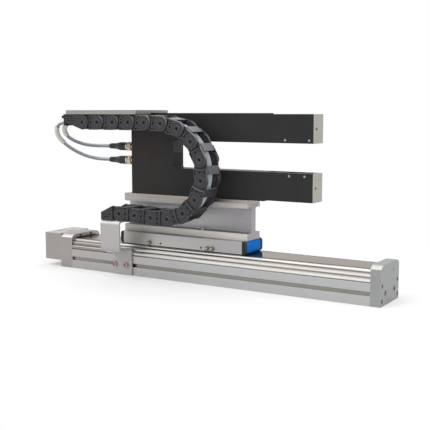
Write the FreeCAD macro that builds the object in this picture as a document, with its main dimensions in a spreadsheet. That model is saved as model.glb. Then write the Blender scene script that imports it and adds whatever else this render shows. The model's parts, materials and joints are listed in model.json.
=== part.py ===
"""Optical thickness gauge: a C-frame on a linear axis, fed by an energy chain.

All lengths are in millimetres and all angles in degrees. X runs along the rail, Y to the back and Z up.
The origin is the centre of the rail's bottom face.
"""
import FreeCAD
import Part
import Sketcher
import math
import os

DRIVING_SIZES = [
    ("rail_length", 553.3, "aluminium profile between the end plates"),
    ("rail_width", 75.0, "profile across the flat sides"),
    ("rail_height", 52.0, "profile bottom to the top of its lips"),
    ("rail_wall", 9.0, "side wall of the profile at the inner channel"),
    ("rail_floor", 10.0, "floor under the guide rail"),
    ("ridge_base", 33.3, "height where the flat side ends and the ridges begin"),
    ("ridge_bulge", 1.6, "how far the two lower ridges stand out"),
    ("ridge_low", 7.3, "height of the lowest ridge"),
    ("ridge_middle", 6.6, "height of the middle ridge"),
    ("groove_depth", 1.1, "depth of the grooves between the ridges"),
    ("groove_height", 0.5, "height of the grooves between the ridges"),
    ("ridge_lean", 1.5, "how far the middle ridge leans in"),
    ("top_ridge_radius", 3.4, "radius of the top ridge"),
    ("slot_height", 17.6, "centre of the side T-slots above the bottom face"),
    ("slot_opening", 6.2, "mouth of every T-slot"),
    ("slot_lip", 2.2, "lip thickness of every T-slot"),
    ("slot_chamber", 9.2, "width of the T-slot's chamber"),
    ("slot_depth", 5.4, "full depth of every T-slot"),
    ("floor_slot_offset", 20.0, "bottom T-slots to the middle of the profile"),
    ("plate_right", 16.0, "thickness of the right end plate"),
    ("plate_left", 26.55, "thickness of the left end plate"),
    ("plate_height", 59.5, "end plates above the bottom face"),
    ("plate_shoulder", 5.5, "drop of the rounded top corners of the end plates"),
    ("plate_shoulder_width", 12.7, "width of the rounded top corners"),
    ("plate_screw_y", 32.0, "corner screws to the middle"),
    ("plate_screw_low", 7.5, "height of the lower corner screws"),
    ("plate_screw_rise", 22.0, "upper corner screws above the lower ones"),
    ("plate_bolt_y", 18.5, "large bolts to the middle"),
    ("corner_screw_radius", 2.1, "shank of the corner screws"),
    ("corner_head_radius", 3.6, "head of the corner screws"),
    ("tapped_y", 13.7, "small tapped hole in the right end plate, to the middle"),
    ("tapped_height", 46.3, "height of that tapped hole"),
    ("bolt_radius", 2.6, "shank of the large bolts"),
    ("bolt_head_radius", 4.4, "head of the large bolts"),
    ("screw_depth", 14.0, "how far a screw reaches into the profile"),
    ("screw_end_gap", 1.0, "screw tips to the bottom of their holes"),
    ("head_height", 3.4, "height of the socket heads"),
    ("strip_half_width", 24.6, "half the width of the steel cover strip"),
    ("strip_thickness", 0.8, "steel cover strip"),
    ("strip_screw_y", 14.0, "clamp screws of the cover strip to the middle"),
    ("strip_screw_rise", 4.2, "clamp screws above the cover strip"),
    ("housing_length", 36.3, "coupling housing along the axis"),
    ("housing_floor", 11.5, "underside of the coupling housing"),
    ("coupling_bore", 13.5, "radius of the bore round the coupling"),
    ("pilot_radius", 15.0, "centring recess for the motor"),
    ("pilot_depth", 3.5, "depth of the centring recess"),
    ("motor_bolt_circle", 46.0, "pitch circle of the motor's screws"),
    ("motor_bolt_radius", 1.7, "radius of the motor's screw holes"),
    ("motor_bolt_depth", 12.0, "depth of the motor's screw holes"),
    ("access_slot_length", 25.0, "access slots on top of the housing"),
    ("access_slot_width", 3.4, "width of the access slots"),
    ("spindle_height", 38.0, "axis of the ball screw above the bottom face"),
    ("spindle_radius", 6.0, "ball screw"),
    ("journal_radius", 4.0, "bearing journals of the ball screw"),
    ("spindle_margin", 12.0, "ball screw thread to the end plates"),
    ("bearing_radius", 12.0, "outer radius of the screw bearings"),
    ("bearing_width", 9.0, "width of the screw bearings"),
    ("running_gap", 0.05, "radial clearance of everything that turns"),
    ("slide_gap", 0.15, "clearance of the runner blocks on their rail"),
    ("coupling_radius", 12.0, "outer radius of the shaft coupling"),
    ("coupling_length", 22.0, "length of the shaft coupling"),
    ("coupling_gap", 3.0, "shaft coupling to the left end plate"),
    ("guide_width", 15.0, "guide rail across"),
    ("guide_height", 9.5, "guide rail above the floor"),
    ("guide_groove", 1.0, "depth of the guide rail's ball grooves"),
    ("guide_margin", 3.0, "guide rail ends to the end plates"),
    ("block_length", 58.0, "one runner block"),
    ("block_width", 32.0, "runner block across"),
    ("block_height", 16.0, "top of the runner blocks above the floor"),
    ("block_lift", 3.0, "runner block's skirt above the floor"),
    ("block_spacing", 115.0, "centres of the two runner blocks"),
    ("carriage_middle", -53.0, "middle of the carriage at rest"),
    ("carriage_length", 231.0, "carriage body"),
    ("carriage_width", 56.4, "carriage body across"),
    ("carriage_height", 21.1, "carriage body, bottom to top"),
    ("carriage_gap", 0.5, "carriage body above the cover strip"),
    ("saddle_wall", 3.1, "side walls and floor of the inner saddle"),
    ("saddle_length", 176.0, "inner saddle along the rail"),
    ("channel_gap", 0.4, "saddle to the rail's inner walls and to the strip"),
    ("nut_length", 34.0, "nut block"),
    ("nut_width", 30.0, "nut block across"),
    ("nut_height", 17.0, "nut block above the saddle's floor"),
    ("cap_length", 6.2, "corner caps past the carriage body"),
    ("cap_radius", 5.0, "rounded upper and lower edges of the corner caps"),
    ("cap_width", 6.3, "corner caps across"),
    ("cover_inset", 0.4, "end covers behind the corner caps"),
    ("cap_floor_gap", 0.6, "end covers above the cover strip"),
    ("nipple_radius", 3.7, "grease nipples"),
    ("nipple_length", 6.4, "grease nipples in front of the carriage"),
    ("nipple_pitch", 8.8, "second nipple beside the right one"),
    ("nipple_height", 5.2, "grease nipples above the carriage's underside"),
    ("nipple_offset", 61.0, "grease nipples to the carriage's middle"),
    ("pinhole_radius", 1.0, "plugged lubrication holes beside the nipples"),
    ("adapter_length", 239.4, "I-section adapter"),
    ("adapter_middle", -52.0, "middle of the adapter at rest"),
    ("adapter_width", 40.2, "flanges of the adapter"),
    ("adapter_web", 12.6, "web of the adapter"),
    ("adapter_foot", 11.2, "lower flange"),
    ("adapter_head", 7.4, "upper flange"),
    ("adapter_height", 58.4, "adapter, bottom to top"),
    ("adapter_fillet", 2.5, "fillets between web and flanges"),
    ("adapter_screw_x", 33.5, "adapter screw to the adapter's middle"),
    ("spacer_height", 5.5, "spacer plate on the adapter"),
    ("cover_plate", 1.5, "thin plates on and under the C-frame"),
    ("cover_plate_end", 93.5, "right end of the thin plates"),
    ("frame_left", -159.55, "left face of the C-frame's column"),
    ("column_width", 84.3, "column along X"),
    ("frame_reach", 252.3, "arms past the column"),
    ("arm_height", 43.5, "height of each arm"),
    ("arm_gap", 44.5, "measuring gap between the arms"),
    ("frame_width", 30.6, "C-frame over its side panels"),
    ("panel_thickness", 2.0, "black side panels"),
    ("frame_wall", 7.0, "walls of the milled core"),
    ("frame_back_wall", 5.0, "back wall of the milled core"),
    ("inner_radius", 3.0, "inner corners of the C"),
    ("end_cap_depth", 4.0, "end caps at the arm tips"),
    ("end_cap_rim", 1.55, "part of the end caps outside the panels"),
    ("end_cap_edge", 1.2, "rounded edges of the end caps"),
    ("joint_line", 9.5, "joint line below the top of the lower end cap"),
    ("window_length", 74.0, "optical windows along the arm"),
    ("window_width", 17.0, "optical windows across"),
    ("window_thickness", 3.0, "optical windows"),
    ("window_recess", 0.8, "optical windows below the arm's face"),
    ("window_margin", 3.0, "optical windows to the end of the core"),
    ("beam_offset", 28.0, "optical axis from the arm tips"),
    ("sensor_length", 62.0, "sensor heads along the arm"),
    ("sensor_width", 18.0, "sensor heads across"),
    ("sensor_height", 20.0, "sensor heads"),
    ("lens_radius", 6.0, "lens barrels"),
    ("seat_gap", 0.2, "clearance of parts set into a pocket"),
    ("small_screw_head", 1.9, "heads of the small panel screws"),
    ("small_screw_shank", 1.0, "shanks of the small panel screws"),
    ("small_screw_length", 4.0, "length of the small panel screws"),
    ("small_head_height", 0.9, "height of the small screw heads"),
    ("panel_screw_edge", 4.6, "panel screws to the edge of the gap"),
    ("upper_screw_pitch", 39.8, "panel screws of the upper arm"),
    ("lower_screw_pitch", 25.6, "panel screws of the lower arm"),
    ("upper_screw_end", 6.4, "last upper panel screw to the panel's end"),
    ("lower_screw_end", 13.2, "last lower panel screw to the panel's end"),
    ("cap_screw_y", -8.0, "end cap screws from the middle"),
    ("socket_low", 53.0, "lower connector above the C-frame's underside"),
    ("socket_pitch", 23.3, "upper connector above the lower one"),
    ("socket_flange_radius", 8.4, "flange of the panel sockets"),
    ("socket_flange", 2.4, "thickness of that flange"),
    ("socket_radius", 5.6, "threaded barrel of the panel sockets"),
    ("socket_length", 17.2, "sockets in front of the column"),
    ("knurl_radius", 7.0, "knurled nut of the plugs"),
    ("knurl_length", 14.0, "knurled nut along its axis"),
    ("knurl_overlap", 7.5, "thread covered by the knurled nut"),
    ("plug_radius", 6.5, "plug body at the nut"),
    ("plug_neck_radius", 4.6, "plug body at the cable"),
    ("plug_length", 34.0, "plug body behind the nut"),
    ("cable_radius", 3.1, "sensor cables"),
    ("sleeve_wall", 0.7, "label sleeves on the cables"),
    ("shelf_left", -253.6, "left end of the top plate"),
    ("shelf_right", -107.3, "right end of the top plate"),
    ("shelf_back", 18.5, "back edge of the top plate behind the middle"),
    ("shelf_thickness", 4.8, "top plate"),
    ("tray_right", -107.9, "right end of the chain tray"),
    ("tray_thickness", 2.0, "chain tray under the top plate"),
    ("chain_front", 72.3, "near face of the chain in front of the middle"),
    ("chain_width", 41.0, "chain over its side plates"),
    ("chain_start", -218.95, "first pivot, at the moving end"),
    ("tray_gap", 0.9, "upper run of the chain below its tray"),
    ("chain_pitch", 31.8, "pivot to pivot"),
    ("link_radius", 12.25, "half the height of a link"),
    ("tongue_radius", 11.5, "half the height of a link's tongue"),
    ("plate_outer", 2.5, "outer half of a link's side plate"),
    ("plate_inner", 2.4, "inner half of a link's side plate"),
    ("plate_gap", 0.15, "clearance between the halves"),
    ("end_gap", 1.1, "clearance round the rounded ends"),
    ("pivot_radius", 4.0, "pivot pins of the chain"),
    ("ring_radius", 5.9, "raised ring round a pivot"),
    ("ring_width", 1.6, "width of that ring"),
    ("ring_height", 0.45, "height of that ring"),
    ("eye_radius", 2.6, "hole in the middle of a pivot"),
    ("crossbar_length", 13.0, "crossbars along the chain"),
    ("crossbar_height", 2.6, "crossbars"),
    ("link_chamfer", 1.2, "chamfer round a link's outer face"),
    ("notch_middle", 18.3, "column of notches past the pivot"),
    ("notch_depth", 1.9, "depth of the notches"),
    ("notch_wide", 8.0, "outer notches along the link"),
    ("notch_leg", 1.7, "legs of the U-shaped notch"),
    ("notch_narrow", 3.4, "inner notches along the link"),
    ("moving_end_length", 35.0, "end bracket on the top plate past its pivot"),
    ("fixed_end_length", 37.4, "end bracket on the sheet bracket past its pivot"),
    ("terminal_drop", 11.6, "height of the oblique edge of the end brackets"),
    ("rib_height", 1.6, "ribs on the sides of the end brackets"),
    ("rib_pitch", 3.6, "rib to rib"),
    ("rib_margin", 3.0, "ribs to the ends of their bracket"),
    ("comb_length", 5.0, "strain relief comb past the upper end bracket"),
    ("comb_height", 19.0, "strain relief comb"),
    ("comb_tooth_pitch", 8.0, "slits between the comb's teeth"),
    ("tie_bar_drop", 2.0, "bar below the tray"),
    ("tie_bar_length", 9.0, "bar that holds the cables on the comb"),
    ("tie_bar_height", 5.0, "bar that holds the cables on the comb"),
    ("chain_cable_radius", 3.3, "cables in the chain"),
    ("bend_cable_shift", 4.0, "cables in the bend outside the line of the pivots"),
    ("groove_cut", 1.8, "depth of the grooves between the ribs of the end brackets"),
    ("cable_lead", 9.0, "straight start of the cables at each end of the bend"),
    ("chain_cable_offset", 7.0, "cables in the chain to its middle"),
    ("bracket_left", -183.0, "left edge of the sheet bracket"),
    ("bracket_width", 39.2, "sheet bracket along the rail"),
    ("sheet_thickness", 3.0, "sheet of the bracket"),
    ("bend_radius", 7.0, "outer bend radius of the sheet"),
    ("bracket_step", 46.8, "top of the bracket's lower step"),
    ("bracket_foot", 1.0, "foot of the bracket above the bottom face"),
    ("bracket_screw_edge", 5.4, "first bracket screw to the bracket's left edge"),
    ("bracket_screw_pitch", 23.4, "bracket screws"),
    ("bracket_screw_radius", 2.5, "shank of the bracket screws"),
    ("bracket_head_radius", 4.3, "heads of the bracket screws"),
    ("bracket_head_height", 2.7, "height of those heads"),
    ("tee_nut_length", 12.0, "slot nuts"),
    ("screw_clearance", 0.1, "radial clearance of screws in their holes"),
]
UPPER_LINKS = 5
BEND_LINKS = 7
CHAIN_ANGLES = (0.0, 0.0, 0.0, 0.0, 2.5, 14.0, 37.7, 59.7, 86.0, 110.0, 135.0, 160.0, 180.0, 183.0, 182.0)
RIB_COUNT = 3
SLEEVE_START_COUNT = 3
UPPER_SLEEVE_COUNT = 2
LOWER_SLEEVE_COUNT = 2
CABLE_ROUTE_UPPER = [
    (-253.95, -48.3, 256.85), (-264.5, -48.3, 256.85), (-274.2, -48.5, 253.2), (-280.0, -48.0, 244.3),
    (-278.4, -44.0, 233.9), (-272.5, -35.0, 225.8), (-264.5, -22.5, 219.6), (-255.5, -11.5, 216.3),
    (-243.5, -4.0, 215.3), (-230.5, 0.0, 215.3), (-217.25, 0.0, 215.3),
]
CABLE_ROUTE_LOWER = [
    (-253.95, -55.3, 256.85), (-269.0, -55.3, 256.85), (-281.0, -55.4, 255.0), (-290.4, -55.2, 247.2),
    (-291.6, -52.3, 234.5), (-285.8, -44.0, 221.5), (-276.8, -31.0, 209.3), (-264.5, -16.5, 199.3),
    (-250.0, -5.7, 193.8), (-234.0, 0.0, 192.0), (-217.25, 0.0, 192.0),
]

doc = FreeCAD.newDocument("ThicknessGauge")
sheet = doc.addObject("Spreadsheet::Sheet", "Sizes")
nodes = {}


class Size:
    """A length or an angle that carries its value and the spreadsheet formula that gives it."""

    def __init__(self, value, formula):
        self.value = float(value)
        self.formula = formula

    def __add__(self, other):
        other = as_size(other)
        return Size(self.value + other.value, f"({self.formula} + {other.formula})")

    def __sub__(self, other):
        other = as_size(other)
        return Size(self.value - other.value, f"({self.formula} - {other.formula})")

    def __mul__(self, factor):
        factor = as_size(factor)
        return Size(self.value * factor.value, f"({self.formula} * {factor.formula})")

    def __truediv__(self, divisor):
        divisor = as_size(divisor)
        return Size(self.value / divisor.value, f"({self.formula} / {divisor.formula})")

    def __neg__(self):
        return Size(-self.value, f"(0 - {self.formula})")


def as_size(number):
    """Turn a plain number into a Size, and leave a Size as it is."""
    if isinstance(number, Size):
        return number
    return Size(number, f"({number})" if number < 0 else f"{number}")


def fill_sheet():
    """Write the driving sizes to the spreadsheet and return them by name."""
    for row, (alias, value, meaning) in enumerate(DRIVING_SIZES, start=1):
        sheet.set(f"A{row}", alias)
        sheet.set(f"B{row}", str(value))
        sheet.setAlias(f"B{row}", alias)
        sheet.set(f"C{row}", meaning)
    doc.recompute()
    return {alias: Size(getattr(sheet, alias), f"<<Sizes>>.{alias}") for alias, _, _ in DRIVING_SIZES}


class Names:
    """Gives each driving size as an attribute."""

    def __init__(self, sizes):
        self.__dict__.update(sizes)


S = Names(fill_sheet())
ZERO = as_size(0.0)


def bind(thing, **formulas):
    """Bind properties of a document object to spreadsheet formulas."""
    for name, size in formulas.items():
        thing.setExpression(name, as_size(size).formula)
    return thing


def place(thing, x, y, z):
    """Bind the place of a document object."""
    for axis, size in zip("xyz", (x, y, z)):
        thing.setExpression(f"Placement.Base.{axis}", as_size(size).formula)
    return thing


def keep(label, thing):
    """Name a finished sub-part."""
    thing.Label = label
    nodes[label] = thing
    return thing


def box(x, y, z):
    """A box between pairs of low and high faces."""
    block = doc.addObject("Part::Box", "Block")
    low = [as_size(pair[0]) for pair in (x, y, z)]
    high = [as_size(pair[1]) for pair in (x, y, z)]
    bind(block, Length=high[0] - low[0], Width=high[1] - low[1], Height=high[2] - low[2])
    return place(block, *low)


AXIS_TURNS = {
    "+X": FreeCAD.Rotation(FreeCAD.Vector(0, 1, 0), 90),
    "-X": FreeCAD.Rotation(FreeCAD.Vector(0, 1, 0), -90),
    "+Y": FreeCAD.Rotation(FreeCAD.Vector(1, 0, 0), -90),
    "-Y": FreeCAD.Rotation(FreeCAD.Vector(1, 0, 0), 90),
    "+Z": FreeCAD.Rotation(),
    "-Z": FreeCAD.Rotation(FreeCAD.Vector(1, 0, 0), 180),
}


def cylinder(x, y, z, direction, radius, length):
    """A cylinder that starts at a point and runs along an axis."""
    rod = doc.addObject("Part::Cylinder", "Rod")
    rod.Placement = FreeCAD.Placement(FreeCAD.Vector(), AXIS_TURNS[direction])
    bind(rod, Radius=radius, Height=length)
    return place(rod, x, y, z)


def cone(x, y, z, direction, radius_start, radius_end, length):
    """A truncated cone that starts at a point and runs along an axis."""
    taper = doc.addObject("Part::Cone", "Taper")
    taper.Placement = FreeCAD.Placement(FreeCAD.Vector(), AXIS_TURNS[direction])
    bind(taper, Radius1=radius_start, Radius2=radius_end, Height=length)
    return place(taper, x, y, z)


def fuse(*things):
    """Several solids as one."""
    union = doc.addObject("Part::MultiFuse", "Union")
    union.Shapes = list(things)
    union.Refine = True
    return union


def cut(base, *tools):
    """A solid less one or more tools."""
    result = doc.addObject("Part::Cut", "Cut")
    result.Base = base
    result.Tool = tools[0] if len(tools) == 1 else group(*tools)
    result.Refine = True
    return result


def group(*things):
    """Separate solids kept together."""
    cluster = doc.addObject("Part::Compound", "Cluster")
    cluster.Links = list(things)
    return cluster


def new_body(name):
    """An empty PartDesign body."""
    return doc.addObject("PartDesign::Body", name)


def new_sketch(body, plane, offset=ZERO):
    """A sketch on one of the body's own planes, moved along that plane's normal."""
    support = next(item for item in body.Origin.OriginFeatures if item.Role == plane)
    sketch = body.newObject("Sketcher::SketchObject", "Profile")
    sketch.AttachmentSupport = [(support, "")]
    sketch.MapMode = "FlatFace"
    sketch.setExpression(".AttachmentOffset.Base.z", as_size(offset).formula)
    return sketch


def pin_point(sketch, curve, end, u, v):
    """Fix one end of a sketch curve at a bound place."""
    for kind, size in (("DistanceX", u), ("DistanceY", v)):
        number = sketch.addConstraint(Sketcher.Constraint(kind, -1, 1, curve, end, size.value))
        sketch.setExpression(f"Constraints[{number}]", size.formula)


def arc_middle(start, end, radius, turn):
    """Middle of the short arc from start to end; turn is 1 for anticlockwise and -1 for clockwise."""
    du, dv = end[0] - start[0], end[1] - start[1]
    chord = math.hypot(du, dv)
    sagitta = radius - math.sqrt(max(radius * radius - chord * chord / 4, 0.0))
    return (
        (start[0] + end[0]) / 2 + turn * dv / chord * sagitta,
        (start[1] + end[1]) / 2 - turn * du / chord * sagitta,
    )


def draw(sketch, path):
    """Add a closed outline: (u, v) ends a line, and (u, v, radius, turn) ends an arc."""
    path = [tuple(as_size(part) for part in item[:3]) + tuple(item[3:]) for item in path]
    first = sketch.GeometryCount
    ends = []
    for index, item in enumerate(path):
        before = path[index - 1]
        start = (before[0].value, before[1].value)
        stop = (item[0].value, item[1].value)
        start_point = FreeCAD.Vector(start[0], start[1], 0)
        stop_point = FreeCAD.Vector(stop[0], stop[1], 0)
        if len(item) == 2:
            sketch.addGeometry(Part.LineSegment(start_point, stop_point))
            ends.append((1, 2))
            continue
        middle = FreeCAD.Vector(*arc_middle(start, stop, item[2].value, item[3]), 0)
        if item[3] > 0:
            sketch.addGeometry(Part.Arc(start_point, middle, stop_point))
            ends.append((1, 2))
        else:
            sketch.addGeometry(Part.Arc(stop_point, middle, start_point))
            ends.append((2, 1))
    for index, item in enumerate(path):
        curve, following = first + index, first + (index + 1) % len(path)
        next_start = ends[(index + 1) % len(path)][0]
        sketch.addConstraint(Sketcher.Constraint("Coincident", curve, ends[index][1], following, next_start))
        pin_point(sketch, curve, ends[index][1], item[0], item[1])
        if len(item) > 2:
            number = sketch.addConstraint(Sketcher.Constraint("Radius", curve, item[2].value))
            sketch.setExpression(f"Constraints[{number}]", item[2].formula)


def draw_circle(sketch, u, v, radius):
    """Add a circle with a bound centre and radius."""
    u, v, radius = as_size(u), as_size(v), as_size(radius)
    centre = FreeCAD.Vector(u.value, v.value, 0)
    curve = sketch.addGeometry(Part.Circle(centre, FreeCAD.Vector(0, 0, 1), radius.value))
    pin_point(sketch, curve, 3, u, v)
    number = sketch.addConstraint(Sketcher.Constraint("Radius", curve, radius.value))
    sketch.setExpression(f"Constraints[{number}]", radius.formula)


def sign(number):
    """1, 0 or -1."""
    return (number > 1e-9) - (number < -1e-9)


def rounded(corners):
    """Outline through right-angled corners; a third number rounds that corner with its radius."""
    path = []
    for index, corner in enumerate(corners):
        u, v = as_size(corner[0]), as_size(corner[1])
        if len(corner) == 2:
            path.append((u, v))
            continue
        radius = as_size(corner[2])
        before, after = corners[index - 1], corners[(index + 1) % len(corners)]
        back = [sign(as_size(before[axis]).value - (u, v)[axis].value) for axis in (0, 1)]
        ahead = [sign(as_size(after[axis]).value - (u, v)[axis].value) for axis in (0, 1)]
        turn = sign(-back[0] * ahead[1] + back[1] * ahead[0])
        path.append((u + radius * back[0], v + radius * back[1]))
        path.append((u + radius * ahead[0], v + radius * ahead[1], radius, turn))
    return path


def rectangle(u, v, radius=None):
    """Corners of a rectangle between pairs of limits, rounded if a radius is given."""
    tail = () if radius is None else (radius,)
    return rounded([(u[0], v[0]) + tail, (u[1], v[0]) + tail, (u[1], v[1]) + tail, (u[0], v[1]) + tail])


def pad(body, plane, start, length, *outlines):
    """A pad along the plane's normal, from a start offset."""
    sketch = new_sketch(body, plane, start)
    for outline in outlines:
        draw(sketch, outline)
    feature = body.newObject("PartDesign::Pad", "Pad")
    feature.Profile = sketch
    sketch.Visibility = False
    feature.setExpression("Length", as_size(length).formula)
    doc.recompute()
    return feature


def pocket(body, plane, start, depth, *outlines, circles=()):
    """A pocket along the plane's normal, from a start offset."""
    before = body.Shape.Volume
    sketch = new_sketch(body, plane, start)
    for outline in outlines:
        draw(sketch, outline)
    for circle in circles:
        draw_circle(sketch, *circle)
    feature = body.newObject("PartDesign::Pocket", "Pocket")
    feature.Profile = sketch
    feature.Reversed = True
    sketch.Visibility = False
    feature.setExpression("Length", as_size(depth).formula)
    doc.recompute()
    if body.Shape.Volume >= before:
        raise RuntimeError(f"a pocket of {body.Label} cuts nothing")
    return feature


def mirrored_outline(half):
    """An outline symmetric about the v axis, from its half with u above 0, bottom to top."""
    path = list(half)
    for index in range(len(half) - 1, -1, -1):
        item = half[index]
        following = half[index + 1] if index + 1 < len(half) else None
        mirrored = (-as_size(item[0]), item[1])
        if following is not None and len(following) > 2:
            mirrored += (following[2], following[3])
        path.append(mirrored)
    return path


def symmetric(size):
    """Low and high limits around 0."""
    half = as_size(size) / 2
    return (-half, half)


def centred(middle, size):
    """Low and high limits around a middle."""
    half = as_size(size) / 2
    return (as_size(middle) - half, as_size(middle) + half)


rail_end = S.rail_length / 2
half_rail = S.rail_width / 2
channel = half_rail - S.rail_wall
strip_top = S.rail_height
plate_right_face = rail_end + S.plate_right
plate_left_face = -rail_end - S.plate_left
housing_face = plate_left_face - S.housing_length
screw_heights = (S.plate_screw_low, S.plate_screw_low + S.plate_screw_rise)


def side_slot(side):
    """Outline of a T-slot in the profile's side, at -1 for the front and 1 for the back."""
    mouth, chamber = S.slot_opening / 2, S.slot_chamber / 2
    face, lip, floor = half_rail * side, (half_rail - S.slot_lip) * side, (half_rail - S.slot_depth) * side
    outer = face + as_size(side)
    return [
        (outer, S.slot_height - mouth), (lip, S.slot_height - mouth), (lip, S.slot_height - chamber),
        (floor, S.slot_height - chamber), (floor, S.slot_height + chamber), (lip, S.slot_height + chamber),
        (lip, S.slot_height + mouth), (outer, S.slot_height + mouth),
    ]


def floor_slot(middle):
    """Outline of a T-slot in the profile's bottom face."""
    mouth, chamber = S.slot_opening / 2, S.slot_chamber / 2
    below = as_size(-1.0)
    return [
        (middle - mouth, below), (middle - mouth, S.slot_lip), (middle - chamber, S.slot_lip),
        (middle - chamber, S.slot_depth), (middle + chamber, S.slot_depth), (middle + chamber, S.slot_lip),
        (middle + mouth, S.slot_lip), (middle + mouth, below),
    ]


def make_rail_profile():
    """The aluminium profile: three rounded ridges on each shoulder, T-slots and an open channel."""
    body = new_body("RailProfile")
    root = half_rail - S.ridge_bulge
    low = S.ridge_base + S.groove_height
    middle = low + S.ridge_low + S.groove_height
    top = middle + S.ridge_middle + S.groove_height
    lower_radius = (S.ridge_low * S.ridge_low / 4 + S.ridge_bulge * S.ridge_bulge) / (S.ridge_bulge * 2)
    half = [
        (half_rail, ZERO),
        (half_rail, S.ridge_base),
        (root, low),
        (root, low + S.ridge_low, lower_radius, 1),
        (root - S.groove_depth, middle),
        (root - S.groove_depth - S.ridge_lean, middle + S.ridge_middle, lower_radius, 1),
        (root - S.groove_depth * 1.8 - S.ridge_lean, top),
        (channel, S.rail_height, S.top_ridge_radius, 1),
        (channel, S.rail_floor),
    ]
    pad(body, "YZ_Plane", -rail_end, S.rail_length, mirrored_outline(half))
    pocket(
        body, "YZ_Plane", -rail_end, S.rail_length,
        side_slot(-1), side_slot(1), floor_slot(-S.floor_slot_offset), floor_slot(S.floor_slot_offset),
    )
    hole = S.corner_screw_radius + S.screw_clearance
    circles = [(S.plate_screw_y * side, height, hole) for side in (-1, 1) for height in screw_heights]
    for start in (-rail_end, rail_end - S.screw_depth):
        pocket(body, "YZ_Plane", start, S.screw_depth, circles=circles)
    keep("rail_profile", body)


def end_plate_outline():
    """Cross-section of both end plates, with a large round on each top corner."""
    rise = S.plate_height - S.plate_shoulder
    radius = (S.plate_shoulder_width * S.plate_shoulder_width + S.plate_shoulder * S.plate_shoulder) / (
        S.plate_shoulder * 2
    )
    return mirrored_outline([
        (half_rail, ZERO), (half_rail, rise),
        (half_rail - S.plate_shoulder_width, S.plate_height, radius, 1),
    ])


def make_end_plates():
    """Both end plates, with their bearing seats and screw holes."""
    spindle = S.spindle_height
    corner = S.corner_screw_radius + S.screw_clearance
    head = S.corner_head_radius + S.screw_clearance
    corners = [(S.plate_screw_y * side, height) for side in (-1, 1) for height in screw_heights]
    bolts = [(S.plate_bolt_y * side, S.slot_height) for side in (-1, 1)]

    right = new_body("EndPlateRight")
    pad(right, "YZ_Plane", rail_end, S.plate_right, end_plate_outline())
    pocket(right, "YZ_Plane", rail_end, S.plate_right, circles=[(y, z, corner) for y, z in corners])
    pocket(
        right, "YZ_Plane", plate_right_face - S.head_height, S.head_height,
        circles=[(y, z, head) for y, z in corners]
        + [(y, z, S.bolt_head_radius + S.screw_clearance) for y, z in bolts],
    )
    pocket(right, "YZ_Plane", rail_end, S.bearing_width, circles=[(ZERO, spindle, S.bearing_radius)])
    pocket(
        right, "YZ_Plane", rail_end + S.bearing_width, S.plate_right - S.bearing_width - S.head_height,
        circles=[(y, z, S.bolt_radius + S.screw_clearance) for y, z in bolts],
    )
    tapped = (S.tapped_y, S.tapped_height, S.corner_screw_radius * 0.75)
    pocket(right, "YZ_Plane", plate_right_face - S.head_height, S.head_height, circles=[tapped])
    keep("end_plate_right", right)

    left = new_body("EndPlateLeft")
    pad(left, "YZ_Plane", plate_left_face, S.plate_left, end_plate_outline())
    pocket(left, "YZ_Plane", plate_left_face, S.plate_left, circles=[(y, z, corner) for y, z in corners])
    pocket(
        left, "YZ_Plane", plate_left_face, S.head_height, circles=[(y, z, head) for y, z in corners],
    )
    pocket(
        left, "YZ_Plane", -rail_end - S.bearing_width, S.bearing_width,
        circles=[(ZERO, spindle, S.bearing_radius)],
    )
    pocket(
        left, "YZ_Plane", plate_left_face, S.plate_left - S.bearing_width,
        circles=[(ZERO, spindle, S.bearing_radius - S.seat_gap * 10)],
    )
    keep("end_plate_left", left)


def socket_screw(x, y, z, direction, shank, head, length, height):
    """A socket screw whose head starts at the given point and whose shank runs along the axis."""
    along = {"+X": (1, 0, 0), "-X": (-1, 0, 0), "+Y": (0, 1, 0), "-Y": (0, -1, 0), "+Z": (0, 0, 1), "-Z": (0, 0, -1)}
    dx, dy, dz = along[direction]
    top = cylinder(x, y, z, direction, head, height)
    rod = cylinder(
        as_size(x) + height * dx, as_size(y) + height * dy, as_size(z) + height * dz, direction, shank, length,
    )
    socket = cylinder(x, y, z, direction, as_size(head) * 0.5, as_size(height) * 0.6)
    return cut(fuse(top, rod), socket)


def make_plate_screws():
    """Corner screws and bolts of the end plates, and the screws that clamp the cover strip."""
    screws = []
    for side in (-1, 1):
        for height in screw_heights:
            y = S.plate_screw_y * side
            screws.append(socket_screw(
                plate_right_face, y, height, "-X", S.corner_screw_radius, S.corner_head_radius,
                S.plate_right + S.screw_depth - S.head_height - S.screw_end_gap, S.head_height,
            ))
            screws.append(socket_screw(
                plate_left_face, y, height, "+X", S.corner_screw_radius, S.corner_head_radius,
                S.plate_left + S.screw_depth - S.head_height - S.screw_end_gap, S.head_height,
            ))
        screws.append(socket_screw(
            plate_right_face, S.plate_bolt_y * side, S.slot_height, "-X", S.bolt_radius, S.bolt_head_radius,
            S.plate_right - S.bearing_width - S.head_height, S.head_height,
        ))
    height = strip_top + S.strip_screw_rise
    for side in (-1, 1):
        y = S.strip_screw_y * side
        screws.append(cylinder(-rail_end, y, height, "+X", S.small_screw_head, S.small_head_height * 1.6))
        screws.append(cylinder(rail_end, y, height, "-X", S.small_screw_head, S.small_head_height * 1.6))
    keep("plate_screws", group(*screws))


def make_cover_strip():
    """The flat steel strip over the profile's channel, held between the end plates."""
    strip = box(
        symmetric(S.rail_length), symmetric(S.strip_half_width * 2), (strip_top - S.strip_thickness, strip_top),
    )
    keep("cover_strip", strip)


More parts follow.
